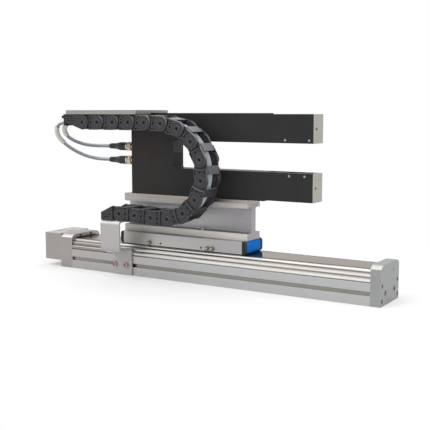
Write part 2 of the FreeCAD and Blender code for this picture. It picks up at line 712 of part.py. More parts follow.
def make_coupling_housing():
    """The housing of the shaft coupling, with the motor's flange on its left and slots on top."""
    body = new_body("CouplingHousing")
    outline = rectangle((-half_rail, half_rail), (S.housing_floor, S.plate_height))
    pad(body, "YZ_Plane", housing_face, S.housing_length, outline)
    spindle = S.spindle_height
    pocket(body, "YZ_Plane", housing_face, S.housing_length, circles=[(ZERO, spindle, S.coupling_bore)])
    pocket(body, "YZ_Plane", housing_face, S.pilot_depth, circles=[(ZERO, spindle, S.pilot_radius)])
    reach = S.motor_bolt_circle / 2 * math.sqrt(0.5)
    holes = [(reach * u, spindle + reach * v, S.motor_bolt_radius) for u in (-1, 1) for v in (-1, 1)]
    pocket(body, "YZ_Plane", housing_face, S.motor_bolt_depth, circles=holes)
    slots = []
    for x in (housing_face + S.access_slot_width * 1.6, plate_left_face - S.access_slot_width * 2.4):
        slots.append(rectangle(centred(x, S.access_slot_width), symmetric(S.access_slot_length)))
    pocket(body, "XY_Plane", spindle, S.plate_height - spindle, *slots)
    keep("coupling_housing", body)


def make_spindle():
    """The ball screw with its journals, its bearings and the coupling."""
    spindle = S.spindle_height
    thread_end = rail_end - S.spindle_margin
    inside = S.journal_radius
    thread = cylinder(-thread_end, ZERO, spindle, "+X", S.spindle_radius, thread_end * 2)
    left_length = S.spindle_margin + S.plate_left + S.coupling_gap + S.coupling_length / 2
    left = cylinder(-thread_end, ZERO, spindle, "-X", inside, left_length)
    right = cylinder(thread_end, ZERO, spindle, "+X", inside, S.spindle_margin + S.bearing_width)
    keep("ball_screw", fuse(thread, left, right))

    coupling_end = -thread_end - left_length - S.coupling_length / 2
    hub = cylinder(coupling_end, ZERO, spindle, "+X", S.coupling_radius, S.coupling_length)
    bore = cylinder(coupling_end, ZERO, spindle, "+X", inside + S.running_gap / 2, S.coupling_length)
    slits = [
        box(centred(coupling_end + S.coupling_length * share, S.running_gap * 16),
            (ZERO, S.coupling_radius * 1.5), centred(spindle, S.coupling_radius * 3))
        for share in (0.35, 0.65)
    ]
    keep("coupling_hub", cut(hub, bore, *slits))

    rings = []
    for x in (-rail_end - S.bearing_width, rail_end):
        ring = cylinder(x, ZERO, spindle, "+X", S.bearing_radius, S.bearing_width)
        rings.append(cut(ring, cylinder(x, ZERO, spindle, "+X", inside + S.running_gap, S.bearing_width)))
    keep("screw_bearings", group(*rings))


def guide_half(grow):
    """Half the guide rail's section, grown by a clearance, from the floor up."""
    half = S.guide_width / 2 + grow
    waist = half - S.guide_groove
    top = S.rail_floor + S.guide_height
    middle = S.rail_floor + S.guide_height * 0.55
    return [
        (half, S.rail_floor), (half, middle - S.guide_groove * 1.6), (waist, middle - S.guide_groove * 0.6),
        (waist, middle + S.guide_groove * 0.6), (half, middle + S.guide_groove * 1.6), (half, top + grow),
    ]


def make_guide():
    """The guide rail and its two runner blocks."""
    rail = new_body("GuideRail")
    length = S.rail_length - S.guide_margin * 2
    pad(rail, "YZ_Plane", -length / 2, length, mirrored_outline(guide_half(ZERO)))
    keep("guide_rail", rail)

    blocks = []
    bottom, top = S.rail_floor + S.block_lift, S.rail_floor + S.block_height
    for side in (-1, 1):
        block = new_body("RunnerBlock")
        start = S.carriage_middle + S.block_spacing / 2 * side - S.block_length / 2
        half = S.block_width / 2
        outline = rectangle((-half, half), (bottom, top), S.slide_gap * 8)
        pad(block, "YZ_Plane", start, S.block_length, outline)
        pocket(block, "YZ_Plane", start, S.block_length, mirrored_outline(guide_half(S.slide_gap)))
        blocks.append(block)
    keep("runner_blocks", group(*blocks))


carriage_low = strip_top + S.carriage_gap
carriage_top = carriage_low + S.carriage_height
carriage_x = centred(S.carriage_middle, S.carriage_length)
saddle_floor = S.rail_floor + S.block_height


def make_carriage():
    """The carriage body over the strip and the saddle that reaches round the strip to the runners."""
    half = channel - S.channel_gap
    inner = half - S.saddle_wall
    body = new_body("CarriageBody")
    outline = [
        (-half, saddle_floor), (half, saddle_floor), (half, carriage_low), (inner, carriage_low),
        (inner, saddle_floor + S.saddle_wall), (-inner, saddle_floor + S.saddle_wall),
        (-inner, carriage_low), (-half, carriage_low),
    ]
    pad(body, "YZ_Plane", S.carriage_middle - S.saddle_length / 2, S.saddle_length, outline)
    outline = rectangle(symmetric(S.carriage_width), (carriage_low, carriage_top), S.end_cap_edge)
    pad(body, "YZ_Plane", carriage_x[0], S.carriage_length, outline)
    height = carriage_low + S.nipple_height
    middle, offset = S.carriage_middle, S.nipple_offset
    spots = [middle - offset, middle + offset - S.nipple_pitch, middle + offset]
    circles = [(x, height, S.nipple_radius * 0.6) for x in spots]
    circles += [(middle + offset * place, height, S.pinhole_radius) for place in (-0.64, 0.66)]
    pocket(body, "XZ_Plane", S.carriage_width / 2 - S.nipple_radius * 2, S.nipple_radius * 2, circles=circles)
    keep("carriage_body", body)

    nipples = []
    face, radius, length = -S.carriage_width / 2, S.nipple_radius, S.nipple_length
    for x in spots:
        stem = cylinder(x, face + radius, height, "-Y", radius * 0.55, radius + length * 0.8)
        collars = [
            cylinder(x, face - length * start, height, "-Y", radius * size, length * 0.26)
            for start, size in ((0.0, 1.0), (0.36, 0.92))
        ]
        tip = cone(x, face - length * 0.7, height, "-Y", radius * 0.8, radius * 0.5, length * 0.3)
        nipples.append(fuse(stem, *collars, tip))
    keep("grease_nipples", group(*nipples))

    block = new_body("ScrewNut")
    nut_floor = saddle_floor + S.saddle_wall
    pad(
        block, "YZ_Plane", S.carriage_middle - S.nut_length / 2, S.nut_length,
        rectangle(symmetric(S.nut_width), (nut_floor, nut_floor + S.nut_height), S.end_cap_edge),
    )
    pocket(
        block, "YZ_Plane", S.carriage_middle - S.nut_length / 2, S.nut_length,
        circles=[(ZERO, S.spindle_height, S.spindle_radius + S.running_gap)],
    )
    keep("screw_nut", block)


def make_carriage_ends():
    """Rounded corner caps and end covers at both ends of the carriage."""
    half = S.carriage_width / 2
    inner = half - S.cap_width
    low, high = strip_top + S.cap_floor_gap, carriage_top
    caps, covers = [], []
    for side in (-1, 1):
        face = carriage_x[0] if side < 0 else carriage_x[1]
        tip = face + S.cap_length * side
        outline = rounded([(face, low), (tip, low, S.cap_radius), (tip, high, S.cap_radius), (face, high)])
        for start in (-half, inner):
            cap = new_body("CornerCap")
            pad(cap, "XZ_Plane", start, S.cap_width, outline)
            caps.append(cap)
        inset = S.cover_inset
        tip, low_in, high_in, radius = tip - inset * side, low + inset, high - inset, S.cap_radius - inset
        cover = new_body("EndCover")
        pad(cover, "XZ_Plane", -inner, inner * 2, rounded([
            (face, low_in), (tip, low_in, radius), (tip, high_in, radius), (face, high_in),
        ]))
        covers.append(cover)
    keep("corner_caps", group(*caps))
    keep("end_covers", group(*covers))


adapter_low = carriage_top
adapter_top = adapter_low + S.adapter_height
adapter_x = centred(S.adapter_middle, S.adapter_length)
frame_low = adapter_top + S.spacer_height + S.cover_plate
frame_top = frame_low + S.arm_height * 2 + S.arm_gap
gap_low = frame_low + S.arm_height
gap_high = gap_low + S.arm_gap
column_right = S.frame_left + S.column_width
frame_right = column_right + S.frame_reach
panel_right = frame_right - S.end_cap_rim
core_right = frame_right - S.end_cap_depth
half_frame = S.frame_width / 2
half_core = half_frame - S.panel_thickness


def make_adapter():
    """The I-section adapter, its screws and the spacer plate on it."""
    web, flange = S.adapter_web / 2, S.adapter_width / 2
    foot, head, soft = adapter_low + S.adapter_foot, adapter_top - S.adapter_head, S.adapter_fillet
    body = new_body("AdapterProfile")
    corners = [
        (-flange, adapter_low), (flange, adapter_low), (flange, foot), (web, foot, soft), (web, head, soft),
        (flange, head), (flange, adapter_top), (-flange, adapter_top), (-flange, head), (-web, head, soft),
        (-web, foot, soft), (-flange, foot),
    ]
    pad(body, "YZ_Plane", adapter_x[0], S.adapter_length, rounded(corners))
    row = (flange + web) / 2
    spots = [(S.adapter_middle + S.adapter_screw_x, row * side) for side in (-1, 1)]
    hole = S.corner_screw_radius + S.screw_clearance
    pocket(body, "XY_Plane", adapter_low, S.adapter_foot, circles=[(x, y, hole) for x, y in spots])
    keep("adapter_profile", body)
    screws = [
        socket_screw(
            x, y, foot + S.head_height, "-Z", S.corner_screw_radius, S.corner_head_radius, S.adapter_foot,
            S.head_height,
        ) for x, y in spots
    ]
    keep("adapter_screws", group(*screws))
    keep("spacer_plate", box(adapter_x, symmetric(S.adapter_width), (adapter_top, adapter_top + S.spacer_height)))


def c_outline(inset, right):
    """Outline of the C in the XZ plane, pulled in by a wall."""
    left, low, high = S.frame_left + inset, frame_low + inset, frame_top - inset
    inner, below, above = column_right - inset, gap_low - inset, gap_high + inset
    return rounded([
        (left, low), (right, low), (right, below), (inner, below, S.inner_radius),
        (inner, above, S.inner_radius), (right, above), (right, high), (left, high),
    ])


def panel_screw_places():
    """Places of the side panels' small screws in the XZ plane."""
    upper, lower = gap_high + S.panel_screw_edge, gap_low - S.panel_screw_edge
    last_upper, last_lower = panel_right - S.upper_screw_end, panel_right - S.lower_screw_end
    return [
        (last_upper, upper), (last_upper - S.upper_screw_pitch, upper),
        (last_lower, lower), (last_lower - S.lower_screw_pitch, lower),
    ]


def make_frame():
    """The milled C-shaped core with its side panels, thin plates and end caps."""
    core = new_body("FrameCore")
    pad(core, "XZ_Plane", -half_core, half_core * 2, c_outline(ZERO, core_right))
    pocket(
        core, "XZ_Plane", -half_core + S.frame_back_wall, half_core * 2 - S.frame_back_wall,
        c_outline(S.frame_wall, core_right - S.frame_wall),
    )
    window_x = (core_right - S.window_margin - S.window_length, core_right - S.window_margin)
    recess = S.window_thickness + S.window_recess
    window = rectangle((window_x[0] - S.seat_gap, window_x[1] + S.seat_gap),
                       symmetric(S.window_width + S.seat_gap * 2))
    light = rectangle((window_x[0] + S.frame_wall, window_x[1] - S.frame_wall),
                      symmetric(S.window_width - S.frame_wall))
    pocket(core, "XY_Plane", gap_low - recess, recess, window)
    pocket(core, "XY_Plane", gap_high, recess, window)
    pocket(core, "XY_Plane", gap_low - S.frame_wall, S.frame_wall - recess, light)
    pocket(core, "XY_Plane", gap_high + recess, S.frame_wall - recess, light)
    stem = S.socket_radius + S.screw_clearance
    heights = (frame_low + S.socket_low, frame_low + S.socket_low + S.socket_pitch)
    pocket(core, "YZ_Plane", S.frame_left, S.frame_wall, circles=[(ZERO, z, stem) for z in heights])
    circles = [(x, z, S.small_screw_shank + S.screw_clearance) for x, z in panel_screw_places()]
    pocket(core, "XZ_Plane", half_core - S.small_screw_length, S.small_screw_length, circles=circles)
    pocket(core, "XZ_Plane", -half_core, S.small_screw_length, circles=circles)
    keep("frame_core", core)

    lower = box(window_x, symmetric(S.window_width), (gap_low - recess, gap_low - S.window_recess))
    upper = box(window_x, symmetric(S.window_width), (gap_high + S.window_recess, gap_high + recess))
    keep("sensor_windows", group(lower, upper))

    for label, start in (("front_panel", half_core), ("back_panel", -half_frame)):
        panel = new_body("SidePanel")
        pad(panel, "XZ_Plane", start, S.panel_thickness, c_outline(ZERO, panel_right))
        pocket(panel, "XZ_Plane", start, S.panel_thickness, circles=circles)
        keep(label, panel)

    under = box((S.frame_left, S.cover_plate_end), symmetric(S.frame_width), (frame_low - S.cover_plate, frame_low))
    over = box((S.frame_left, S.cover_plate_end), symmetric(S.frame_width), (frame_top, frame_top + S.cover_plate))
    keep("frame_covers", group(under, over))


def make_end_caps():
    """The metal caps on the arm tips."""
    tips = (("lower_end_cap", frame_low, gap_low), ("upper_end_cap", gap_high, frame_top))
    for label, low, high in tips:
        body = new_body("EndCap")
        pad(body, "YZ_Plane", core_right, S.end_cap_depth - S.end_cap_rim,
            rectangle((-half_core, half_core), (low, high)))
        pad(body, "YZ_Plane", panel_right, S.end_cap_rim,
            rectangle((-half_frame, half_frame), (low, high), S.end_cap_edge))
        shank = S.small_screw_shank + S.screw_clearance
        pocket(body, "YZ_Plane", core_right, S.end_cap_depth, circles=[(S.cap_screw_y, (low + high) / 2, shank)])
        if label == "lower_end_cap":
            line = rectangle((-half_frame - S.screw_end_gap, half_frame + S.screw_end_gap), centred(high - S.joint_line, S.small_head_height * 0.5))
            pocket(body, "YZ_Plane", frame_right - S.small_head_height * 0.5, S.small_head_height, line)
        keep(label, body)


def make_frame_screws():
    """Small screws of the side panels and end caps."""
    shank, head, height = S.small_screw_shank, S.small_screw_head, S.small_head_height
    screws = []
    reach = S.panel_thickness + S.small_screw_length - S.seat_gap
    for x, z in panel_screw_places():
        for side, direction in ((-1, "+Y"), (1, "-Y")):
            top = cylinder(x, (half_frame + height) * side, z, direction, head, height)
            screws.append(fuse(top, cylinder(x, half_frame * side, z, direction, shank, reach)))
    for low, high in ((frame_low, gap_low), (gap_high, frame_top)):
        middle = (low + high) / 2
        top = cylinder(frame_right, S.cap_screw_y, middle, "+X", head, height * 0.6)
        rod = cylinder(frame_right, S.cap_screw_y, middle, "-X", shank, S.end_cap_depth)
        screws.append(fuse(top, rod))
    keep("frame_screws", group(*screws))


def make_sensors():
    """The emitter and receiver heads inside the arms, each with a lens over its window."""
    beam = frame_right - S.beam_offset
    heads = []
    middle_y = half_core - S.frame_back_wall - S.sensor_width / 2 - S.seat_gap
    for low, facing in ((gap_low, -1), (gap_high, 1)):
        floor = low + S.frame_wall * facing
        far = floor + S.sensor_height * facing
        pair = (far, floor) if facing < 0 else (floor, far)
        x = (core_right - S.frame_wall - S.sensor_length - S.seat_gap, core_right - S.frame_wall - S.seat_gap)
        shell = box(x, centred(middle_y, S.sensor_width), pair)
        direction = "+Z" if facing < 0 else "-Z"
        lens_radius = (S.window_width - S.frame_wall) / 2 - S.seat_gap
        lens = cylinder(beam - S.frame_wall, ZERO, floor, direction, lens_radius,
                        S.frame_wall - S.window_thickness - S.window_recess - S.seat_gap)
        heads.append(fuse(shell, lens))
    keep("sensor_heads", group(*heads))


def make_connectors():
    """Panel sockets on the column, with knurled nuts and plug bodies."""
    heights = (frame_low + S.socket_low, frame_low + S.socket_low + S.socket_pitch)
    sockets, nuts, plugs = [], [], []
    face = S.frame_left
    for z in heights:
        flange = cylinder(face, ZERO, z, "-X", S.socket_flange_radius, S.socket_flange)
        barrel = cylinder(face + S.frame_wall, ZERO, z, "-X", S.socket_radius, S.frame_wall + S.socket_length)
        sockets.append(fuse(flange, barrel))
        near = face - S.socket_length + S.knurl_overlap
        far = near - S.knurl_length
        ring = cylinder(near, ZERO, z, "-X", S.knurl_radius, S.knurl_length)
        bore = cylinder(near, ZERO, z, "-X", S.socket_radius + S.screw_clearance, S.knurl_overlap)
        hole = cylinder(near, ZERO, z, "-X", S.plug_neck_radius + S.screw_clearance, S.knurl_length)
        nuts.append(cut(ring, bore, hole))
        collar = S.knurl_length - S.knurl_overlap
        inner = cylinder(far + collar, ZERO, z, "-X", S.plug_neck_radius, collar)
        grip = cylinder(far, ZERO, z, "-X", S.plug_radius, S.plug_length * 0.38)
        waist = cone(far - S.plug_length * 0.38, ZERO, z, "-X", S.plug_radius, S.plug_neck_radius * 1.15,
                     S.plug_length * 0.24)
        tail = cone(far - S.plug_length * 0.62, ZERO, z, "-X", S.plug_neck_radius * 1.15, S.plug_neck_radius,
                    S.plug_length * 0.38)
        plugs.append(fuse(inner, grip, waist, tail))
    keep("panel_sockets", group(*sockets))
    keep("plug_nuts", group(*nuts))
    keep("plug_bodies", group(*plugs))


shelf_low = frame_top + S.cover_plate
tray_low = shelf_low - S.tray_thickness
chain_height = tray_low - S.tray_gap - S.link_radius
chain_y = -S.chain_front + S.chain_width / 2
chain_back = -S.chain_front + S.chain_width


def make_shelf():
    """The top plate that reaches over the chain, and the thin tray under it."""
    body = new_body("TopPlate")
    pad(body, "XY_Plane", shelf_low, S.shelf_thickness,
        rectangle((S.shelf_left, S.shelf_right), (-S.chain_front, S.shelf_back), S.end_cap_edge))
    keep("top_plate", body)
    keep("chain_tray", box((S.shelf_left, S.tray_right), (-S.chain_front, chain_back), (tray_low, shelf_low)))


def rounded_end(middle, radius, flat, side):
    """Outline that is round about (middle, 0) and straight to flat; side is 1 if the round faces +u."""
    middle, radius, flat = as_size(middle), as_size(radius), as_size(flat)
    return [
        (flat, -radius * side), (middle, -radius * side),
        (middle + radius * side, ZERO, radius, 1), (middle, radius * side, radius, 1), (flat, radius * side),
    ]


def link_layers():
    """Distances of a link's layers from the chain's middle: inner face, joint, outer plate, outer face."""
    outer = S.chain_width / 2 - S.ring_height
    return outer - S.plate_outer - S.plate_gap - S.plate_inner, outer - S.plate_outer, outer


def chamfered_plate(body, start, thickness, outline):
    """A plate whose outer face is chamfered all round."""
    pad(body, "XZ_Plane", start, thickness - S.link_chamfer, outline)
    rim = pad(body, "XZ_Plane", start + thickness - S.link_chamfer, S.link_chamfer, outline)
    rim.TaperAngle = -45.0
    doc.recompute()


def add_fork(body):
    """The outer, forked half of a link on one side, with its pivot pin and ring."""
    inner, joint, outer = link_layers()
    edge = S.link_radius + S.end_gap
    chamfered_plate(body, joint, S.plate_outer, rounded_end(S.chain_pitch, S.link_radius, edge, 1))
    sketch = new_sketch(body, "XZ_Plane", outer)
    draw_circle(sketch, S.chain_pitch, ZERO, S.ring_radius)
    draw_circle(sketch, S.chain_pitch, ZERO, S.ring_radius - S.ring_width)
    ring = body.newObject("PartDesign::Pad", "Ring")
    ring.Profile = sketch
    ring.setExpression("Length", S.ring_height.formula)
    doc.recompute()
    sketch = new_sketch(body, "XZ_Plane", joint)
    draw_circle(sketch, S.chain_pitch, ZERO, S.pivot_radius - S.running_gap)
    pivot = body.newObject("PartDesign::Pad", "Pin")
    pivot.Profile = sketch
    pivot.Reversed = True
    pivot.setExpression("Length", (S.plate_inner + S.plate_gap).formula)
    doc.recompute()
    pocket(body, "XZ_Plane", joint, S.plate_outer, circles=[(S.chain_pitch, ZERO, S.eye_radius)])


def add_tongue(body):
    """The inner half of a link on one side, with the pivot's hole."""
    inner, joint, outer = link_layers()
    far = S.chain_pitch - S.tongue_radius - S.end_gap
    pad(body, "XZ_Plane", inner, S.plate_inner, rounded_end(ZERO, S.tongue_radius, far, -1))
    pocket(body, "XZ_Plane", inner, S.plate_inner, circles=[(ZERO, ZERO, S.pivot_radius)])


def add_web(body, low, high):
    """The full-thickness strip that joins a link's inner and outer halves on one side."""
    inner, joint, outer = link_layers()
    depth = outer - inner - S.link_chamfer
    pad(body, "XZ_Plane", inner, depth, rectangle((low, high), symmetric(S.tongue_radius * 2)))


def add_notches(body):
    """The column of notches beside a link's rounded end: a U, three small ones and a wide one."""
    inner, joint, outer = link_layers()
    middle, wide, leg = S.notch_middle, S.notch_wide / 2, S.notch_leg
    low, high = S.link_radius * 0.61, S.link_radius * 0.9
    outlines = [[
        (middle - wide, low), (middle + wide, low), (middle + wide, high), (middle + wide - leg, high),
        (middle + wide - leg, low + leg), (middle - wide + leg, low + leg), (middle - wide + leg, high),
        (middle - wide, high),
    ]]
    for width, place, height in (
        (S.notch_narrow, 0.42, 0.17), (S.notch_narrow, -0.02, 0.38), (S.notch_narrow, -0.42, 0.13),
        (S.notch_wide, -0.75, 0.22),
    ):
        outlines.append(rectangle(
            centred(middle, width), centred(S.link_radius * place, S.link_radius * height),
        ))
    pocket(body, "XZ_Plane", outer - S.notch_depth, S.notch_depth, *outlines)


def mirror_features(body):
    """Repeat every feature of a body on the other side of the chain's middle plane."""
    originals = [item for item in body.Group if item.TypeId in ("PartDesign::Pad", "PartDesign::Pocket")]
    plane = next(item for item in body.Origin.OriginFeatures if item.Role == "XZ_Plane")
    mirror = body.newObject("PartDesign::Mirrored", "OtherSide")
    mirror.Originals = originals
    mirror.MirrorPlane = (plane, [""])
    body.Tip = mirror
    doc.recompute()


def add_crossbars(body, middle, length):
    """The two bars that join a link's sides."""
    inner, joint, outer = link_layers()
    half = inner + S.plate_gap
    for side in (-1, 1):
        far = S.link_radius * side
        near = (S.link_radius - S.crossbar_height) * side
        limits = (near, far) if side > 0 else (far, near)
        pad(body, "XZ_Plane", -half, half * 2, rectangle(centred(middle, length), limits))


def make_master_link():
    """One chain link about its first pivot, pointing along +X."""
    body = new_body("MasterLink")
    low = S.link_radius + S.end_gap
    high = S.chain_pitch - S.tongue_radius - S.end_gap
    add_web(body, low, high)
    add_fork(body)
    add_tongue(body)
    add_notches(body)
    mirror_features(body)
    add_crossbars(body, (low + high) / 2, S.crossbar_length)
    return body


def chain_pivots():
    """The pivots as (x, z) and the direction of each link below +X, from the moving end."""
    x, z = S.chain_start.value, chain_height.value
    spots = [(x, z)]
    for angle in CHAIN_ANGLES:
        x += S.chain_pitch.value * math.cos(math.radians(angle))
        z -= S.chain_pitch.value * math.sin(math.radians(angle))
        spots.append((x, z))
    return spots, CHAIN_ANGLES


pivots, directions = chain_pivots()


def make_chain_links(master):
    """All links of the chain as copies of the master link, numbered from the moving end."""
    for index, turn in enumerate(directions):
        link = new_body("ChainLink")
        link.BaseFeature = master
        link.Placement = FreeCAD.Placement(
            FreeCAD.Vector(pivots[index][0], chain_y.value, pivots[index][1]),
            FreeCAD.Rotation(FreeCAD.Vector(0, 1, 0), turn),
        )
        keep(f"chain_link_{index + 1:02d}", link)


def terminal_outline(near, far, foot):
    """Outline of an end bracket's side, with an oblique edge from the height foot towards its free end."""
    radius = S.link_radius
    return [(near, radius), (near, foot), (far, -radius + S.terminal_drop), (far, radius)]


def terminal_grooves(near, far):
    """Outlines of the grooves along an end bracket's side, above its oblique edge."""
    outlines = []
    for index in range(RIB_COUNT):
        z = S.link_radius - S.rib_pitch * (index + 0.7)
        outlines.append(rectangle((near, far), centred(z, S.rib_height)))
    return outlines


def make_terminals():
    """The end brackets: a forked one at the moving end and one with tongues at the fixed end."""
    inner, joint, outer = link_layers()
    wall = outer - inner
    edge = S.link_radius + S.end_gap

    moving = new_body("MovingEnd")
    far = -S.moving_end_length
    near = -S.tongue_radius - S.end_gap
    radius = S.link_radius
    foot = S.terminal_drop * near / far - radius
    pad(moving, "XZ_Plane", inner, wall, terminal_outline(near, far, foot))
    pad(moving, "XZ_Plane", joint, S.plate_outer, [
        (near, foot), (ZERO, -radius), (radius, ZERO, radius, 1), (ZERO, radius, radius, 1), (near, radius),
    ])
    sketch = new_sketch(moving, "XZ_Plane", outer)
    draw_circle(sketch, ZERO, ZERO, S.ring_radius)
    draw_circle(sketch, ZERO, ZERO, S.ring_radius - S.ring_width)
    ring = moving.newObject("PartDesign::Pad", "Ring")
    ring.Profile = sketch
    ring.setExpression("Length", S.ring_height.formula)
    doc.recompute()
    sketch = new_sketch(moving, "XZ_Plane", joint)
    draw_circle(sketch, ZERO, ZERO, S.pivot_radius - S.running_gap)
    pivot = moving.newObject("PartDesign::Pad", "Pin")
    pivot.Profile = sketch
    pivot.Reversed = True
    pivot.setExpression("Length", (S.plate_inner + S.plate_gap).formula)
    doc.recompute()
    pocket(moving, "XZ_Plane", joint, S.plate_outer, circles=[(ZERO, ZERO, S.eye_radius)])
    grooves = terminal_grooves(far + S.rib_margin, near - S.rib_margin)
    pocket(moving, "XZ_Plane", outer - S.groove_cut, S.groove_cut, *grooves)
    mirror_features(moving)
    bridge = rectangle((far, near), (tray_low - chain_height - S.crossbar_height, tray_low - chain_height))
    pad(moving, "XZ_Plane", -outer, outer * 2, bridge)
    moving.Placement = FreeCAD.Placement(
        FreeCAD.Vector(pivots[0][0], chain_y.value, pivots[0][1]), FreeCAD.Rotation(),
    )
    keep("chain_moving_end", moving)

    fixed = new_body("FixedEnd")
    far = S.fixed_end_length
    pad(fixed, "XZ_Plane", inner, wall, terminal_outline(edge, far, -S.link_radius))
    pad(fixed, "XZ_Plane", inner, S.plate_inner, rounded_end(ZERO, S.tongue_radius, edge, -1))
    pocket(fixed, "XZ_Plane", inner, S.plate_inner, circles=[(ZERO, ZERO, S.pivot_radius)])
    grooves = terminal_grooves(edge + S.rib_margin, far - S.rib_margin)
    pocket(fixed, "XZ_Plane", outer - S.groove_cut, S.groove_cut, *grooves)
    mirror_features(fixed)
    pad(fixed, "XZ_Plane", -outer, outer * 2,
        rectangle((edge, far), (S.link_radius - S.crossbar_height, S.link_radius)))
    fixed.Placement = FreeCAD.Placement(
        FreeCAD.Vector(pivots[-1][0], chain_y.value, pivots[-1][1]),
        FreeCAD.Rotation(FreeCAD.Vector(0, 1, 0), 180),
    )
    keep("chain_fixed_end", fixed)

    end_x = S.chain_start - S.moving_end_length
    low = tray_low - S.comb_height
    comb = box((end_x - S.comb_length, end_x), centred(chain_y, outer * 2), (low, tray_low))
    teeth = [
        box((end_x - S.comb_length, end_x - S.comb_length / 2),
            centred(chain_y + S.comb_tooth_pitch * index, S.comb_tooth_pitch / 2), (low, low + S.tie_bar_height / 2))
        for index in (-2, -1, 0, 1, 2)
    ]
    bar = box((end_x - S.tie_bar_length, end_x - S.comb_length), centred(chain_y, outer * 2),
              (tray_low - S.tie_bar_drop - S.tie_bar_height, tray_low - S.tie_bar_drop))
    holes = [
        cylinder(end_x, chain_y + S.chain_cable_offset / 2 * side, chain_height, "-X",
                 S.cable_radius + S.screw_clearance, S.comb_length)
        for side in (-1, 1)
    ]
    keep("strain_relief", cut(fuse(comb, bar), *holes, *teeth))


def smooth_wire(points):
    """A wire of straight runs joined by tangent arcs, with the radii of its arcs."""
    corners = [FreeCAD.Vector(*point) for point in points]
    edges, radii = [], []
    start = corners[0]
    for before, corner, after in zip(corners, corners[1:], corners[2:]):
        incoming, outgoing = corner - before, after - corner
        shorter = min(incoming.Length, outgoing.Length)
        arm = 0.45 * shorter
        incoming.normalize()
        outgoing.normalize()
        turn = incoming.getAngle(outgoing)
        radii.append(arm / math.tan(turn / 2))
        first, last = corner - incoming * arm, corner + outgoing * arm
        inward = outgoing - incoming
        inward.normalize()
        centre = corner + inward * (radii[-1] / math.cos(turn / 2))
        middle = centre - inward * radii[-1]
        edges.append(Part.LineSegment(start, first).toShape())
        edges.append(Part.Arc(first, middle, last).toShape())
        start = last
    edges.append(Part.LineSegment(start, corners[-1]).toShape())
    return edges, radii


def sweep(edges, radius, bore=0.0):
    """A round tube along a wire's edges."""
    wire = Part.Wire(edges)
    start = wire.OrderedVertexes[0].Point
    ahead = edges[0].tangentAt(edges[0].FirstParameter)
    shape = None
    for size in (radius, bore):
        if size <= 0:
            continue
        ring = Part.Wire([Part.makeCircle(size, start, ahead)])
        tube = wire.makePipeShell([ring], True, True)
        shape = tube if shape is None else shape.cut(tube)
    return shape


def feature(shape):
    """A document object that holds a swept shape."""
    thing = doc.addObject("Part::Feature", "Swept")
    thing.Shape = shape
    return thing


def make_sensor_cables():
    """The two sensor cables from the chain's comb to their plugs, with label sleeves."""
    sleeves = []
    plans = (
        ("upper_cable", CABLE_ROUTE_UPPER, UPPER_SLEEVE_COUNT, 1, S.socket_low + S.socket_pitch),
        ("lower_cable", CABLE_ROUTE_LOWER, LOWER_SLEEVE_COUNT, -1, S.socket_low),
    )
    plug_x = (S.frame_left - S.socket_length + S.knurl_overlap - S.knurl_length - S.plug_length).value
    comb_x = (S.chain_start - S.moving_end_length).value
    for label, route, count, side, socket in plans:
        y = (chain_y + S.chain_cable_offset / 2 * side).value
        socket_z = (frame_low + socket).value
        points = [(comb_x, y, chain_height.value), (route[1][0], y, chain_height.value)] + route[2:-2]
        points += [(route[-2][0], 0.0, socket_z), (plug_x, 0.0, socket_z)]
        edges, radii = smooth_wire(points)
        shape = sweep(edges, S.cable_radius.value)
        length = sum(edge.Length for edge in edges)
        expected = math.pi * S.cable_radius.value ** 2 * length
        print(f"{label}: length {length:.1f} mm, volume share {shape.Volume / expected:.4f}, radii",
              " ".join(f"{radius:.0f}" for radius in radii))
        keep(label, feature(shape))
        first = SLEEVE_START_COUNT * 2
        covered = edges[first:first + count * 2]
        outer = S.cable_radius.value + S.sleeve_wall.value
        sleeves.append(feature(sweep(covered, outer, S.cable_radius.value + S.running_gap.value)))
    keep("cable_sleeves", group(*sleeves))


def make_chain_cables():
    """The cables that lie inside the chain, one group for each stretch of it."""
    first, last = UPPER_LINKS, UPPER_LINKS + BEND_LINKS

    def beside(index, along, outside=0.0):
        """A point along and outside the cables' line at a pivot."""
        angle = math.radians((directions[index - 1] + directions[index]) / 2)
        x, z = pivots[index]
        return (
            x + along * math.cos(angle) + outside * math.sin(angle),
            z - along * math.sin(angle) + outside * math.cos(angle),
        )

    gap, lead = S.seat_gap.value * 2, S.cable_lead.value
    start = pivots[0][0] - S.moving_end_length.value + gap, pivots[0][1]
    stop = pivots[-1][0] - S.fixed_end_length.value * 0.8, pivots[-1][1]
    stretches = {
        "chain_cables_upper": [start, pivots[first - 1], beside(first, -lead), beside(first, -gap)],
        "chain_cables_bend": [beside(first, gap), beside(first, lead)]
        + [beside(index, 0.0, S.bend_cable_shift.value) for index in range(first + 1, last)]
        + [beside(last, -lead), beside(last, -gap)],
        "chain_cables_lower": [beside(last, gap), beside(last, lead)] + pivots[last + 1:] + [stop],
    }
    for label, stretch in stretches.items():
        cables = []
        for side in (-1, 1):
            y = chain_y.value + S.chain_cable_offset.value / 2 * side
            edges, radii = smooth_wire([(x, y, z) for x, z in stretch])
            cables.append(feature(sweep(edges, S.chain_cable_radius.value)))
        keep(label, group(*cables))


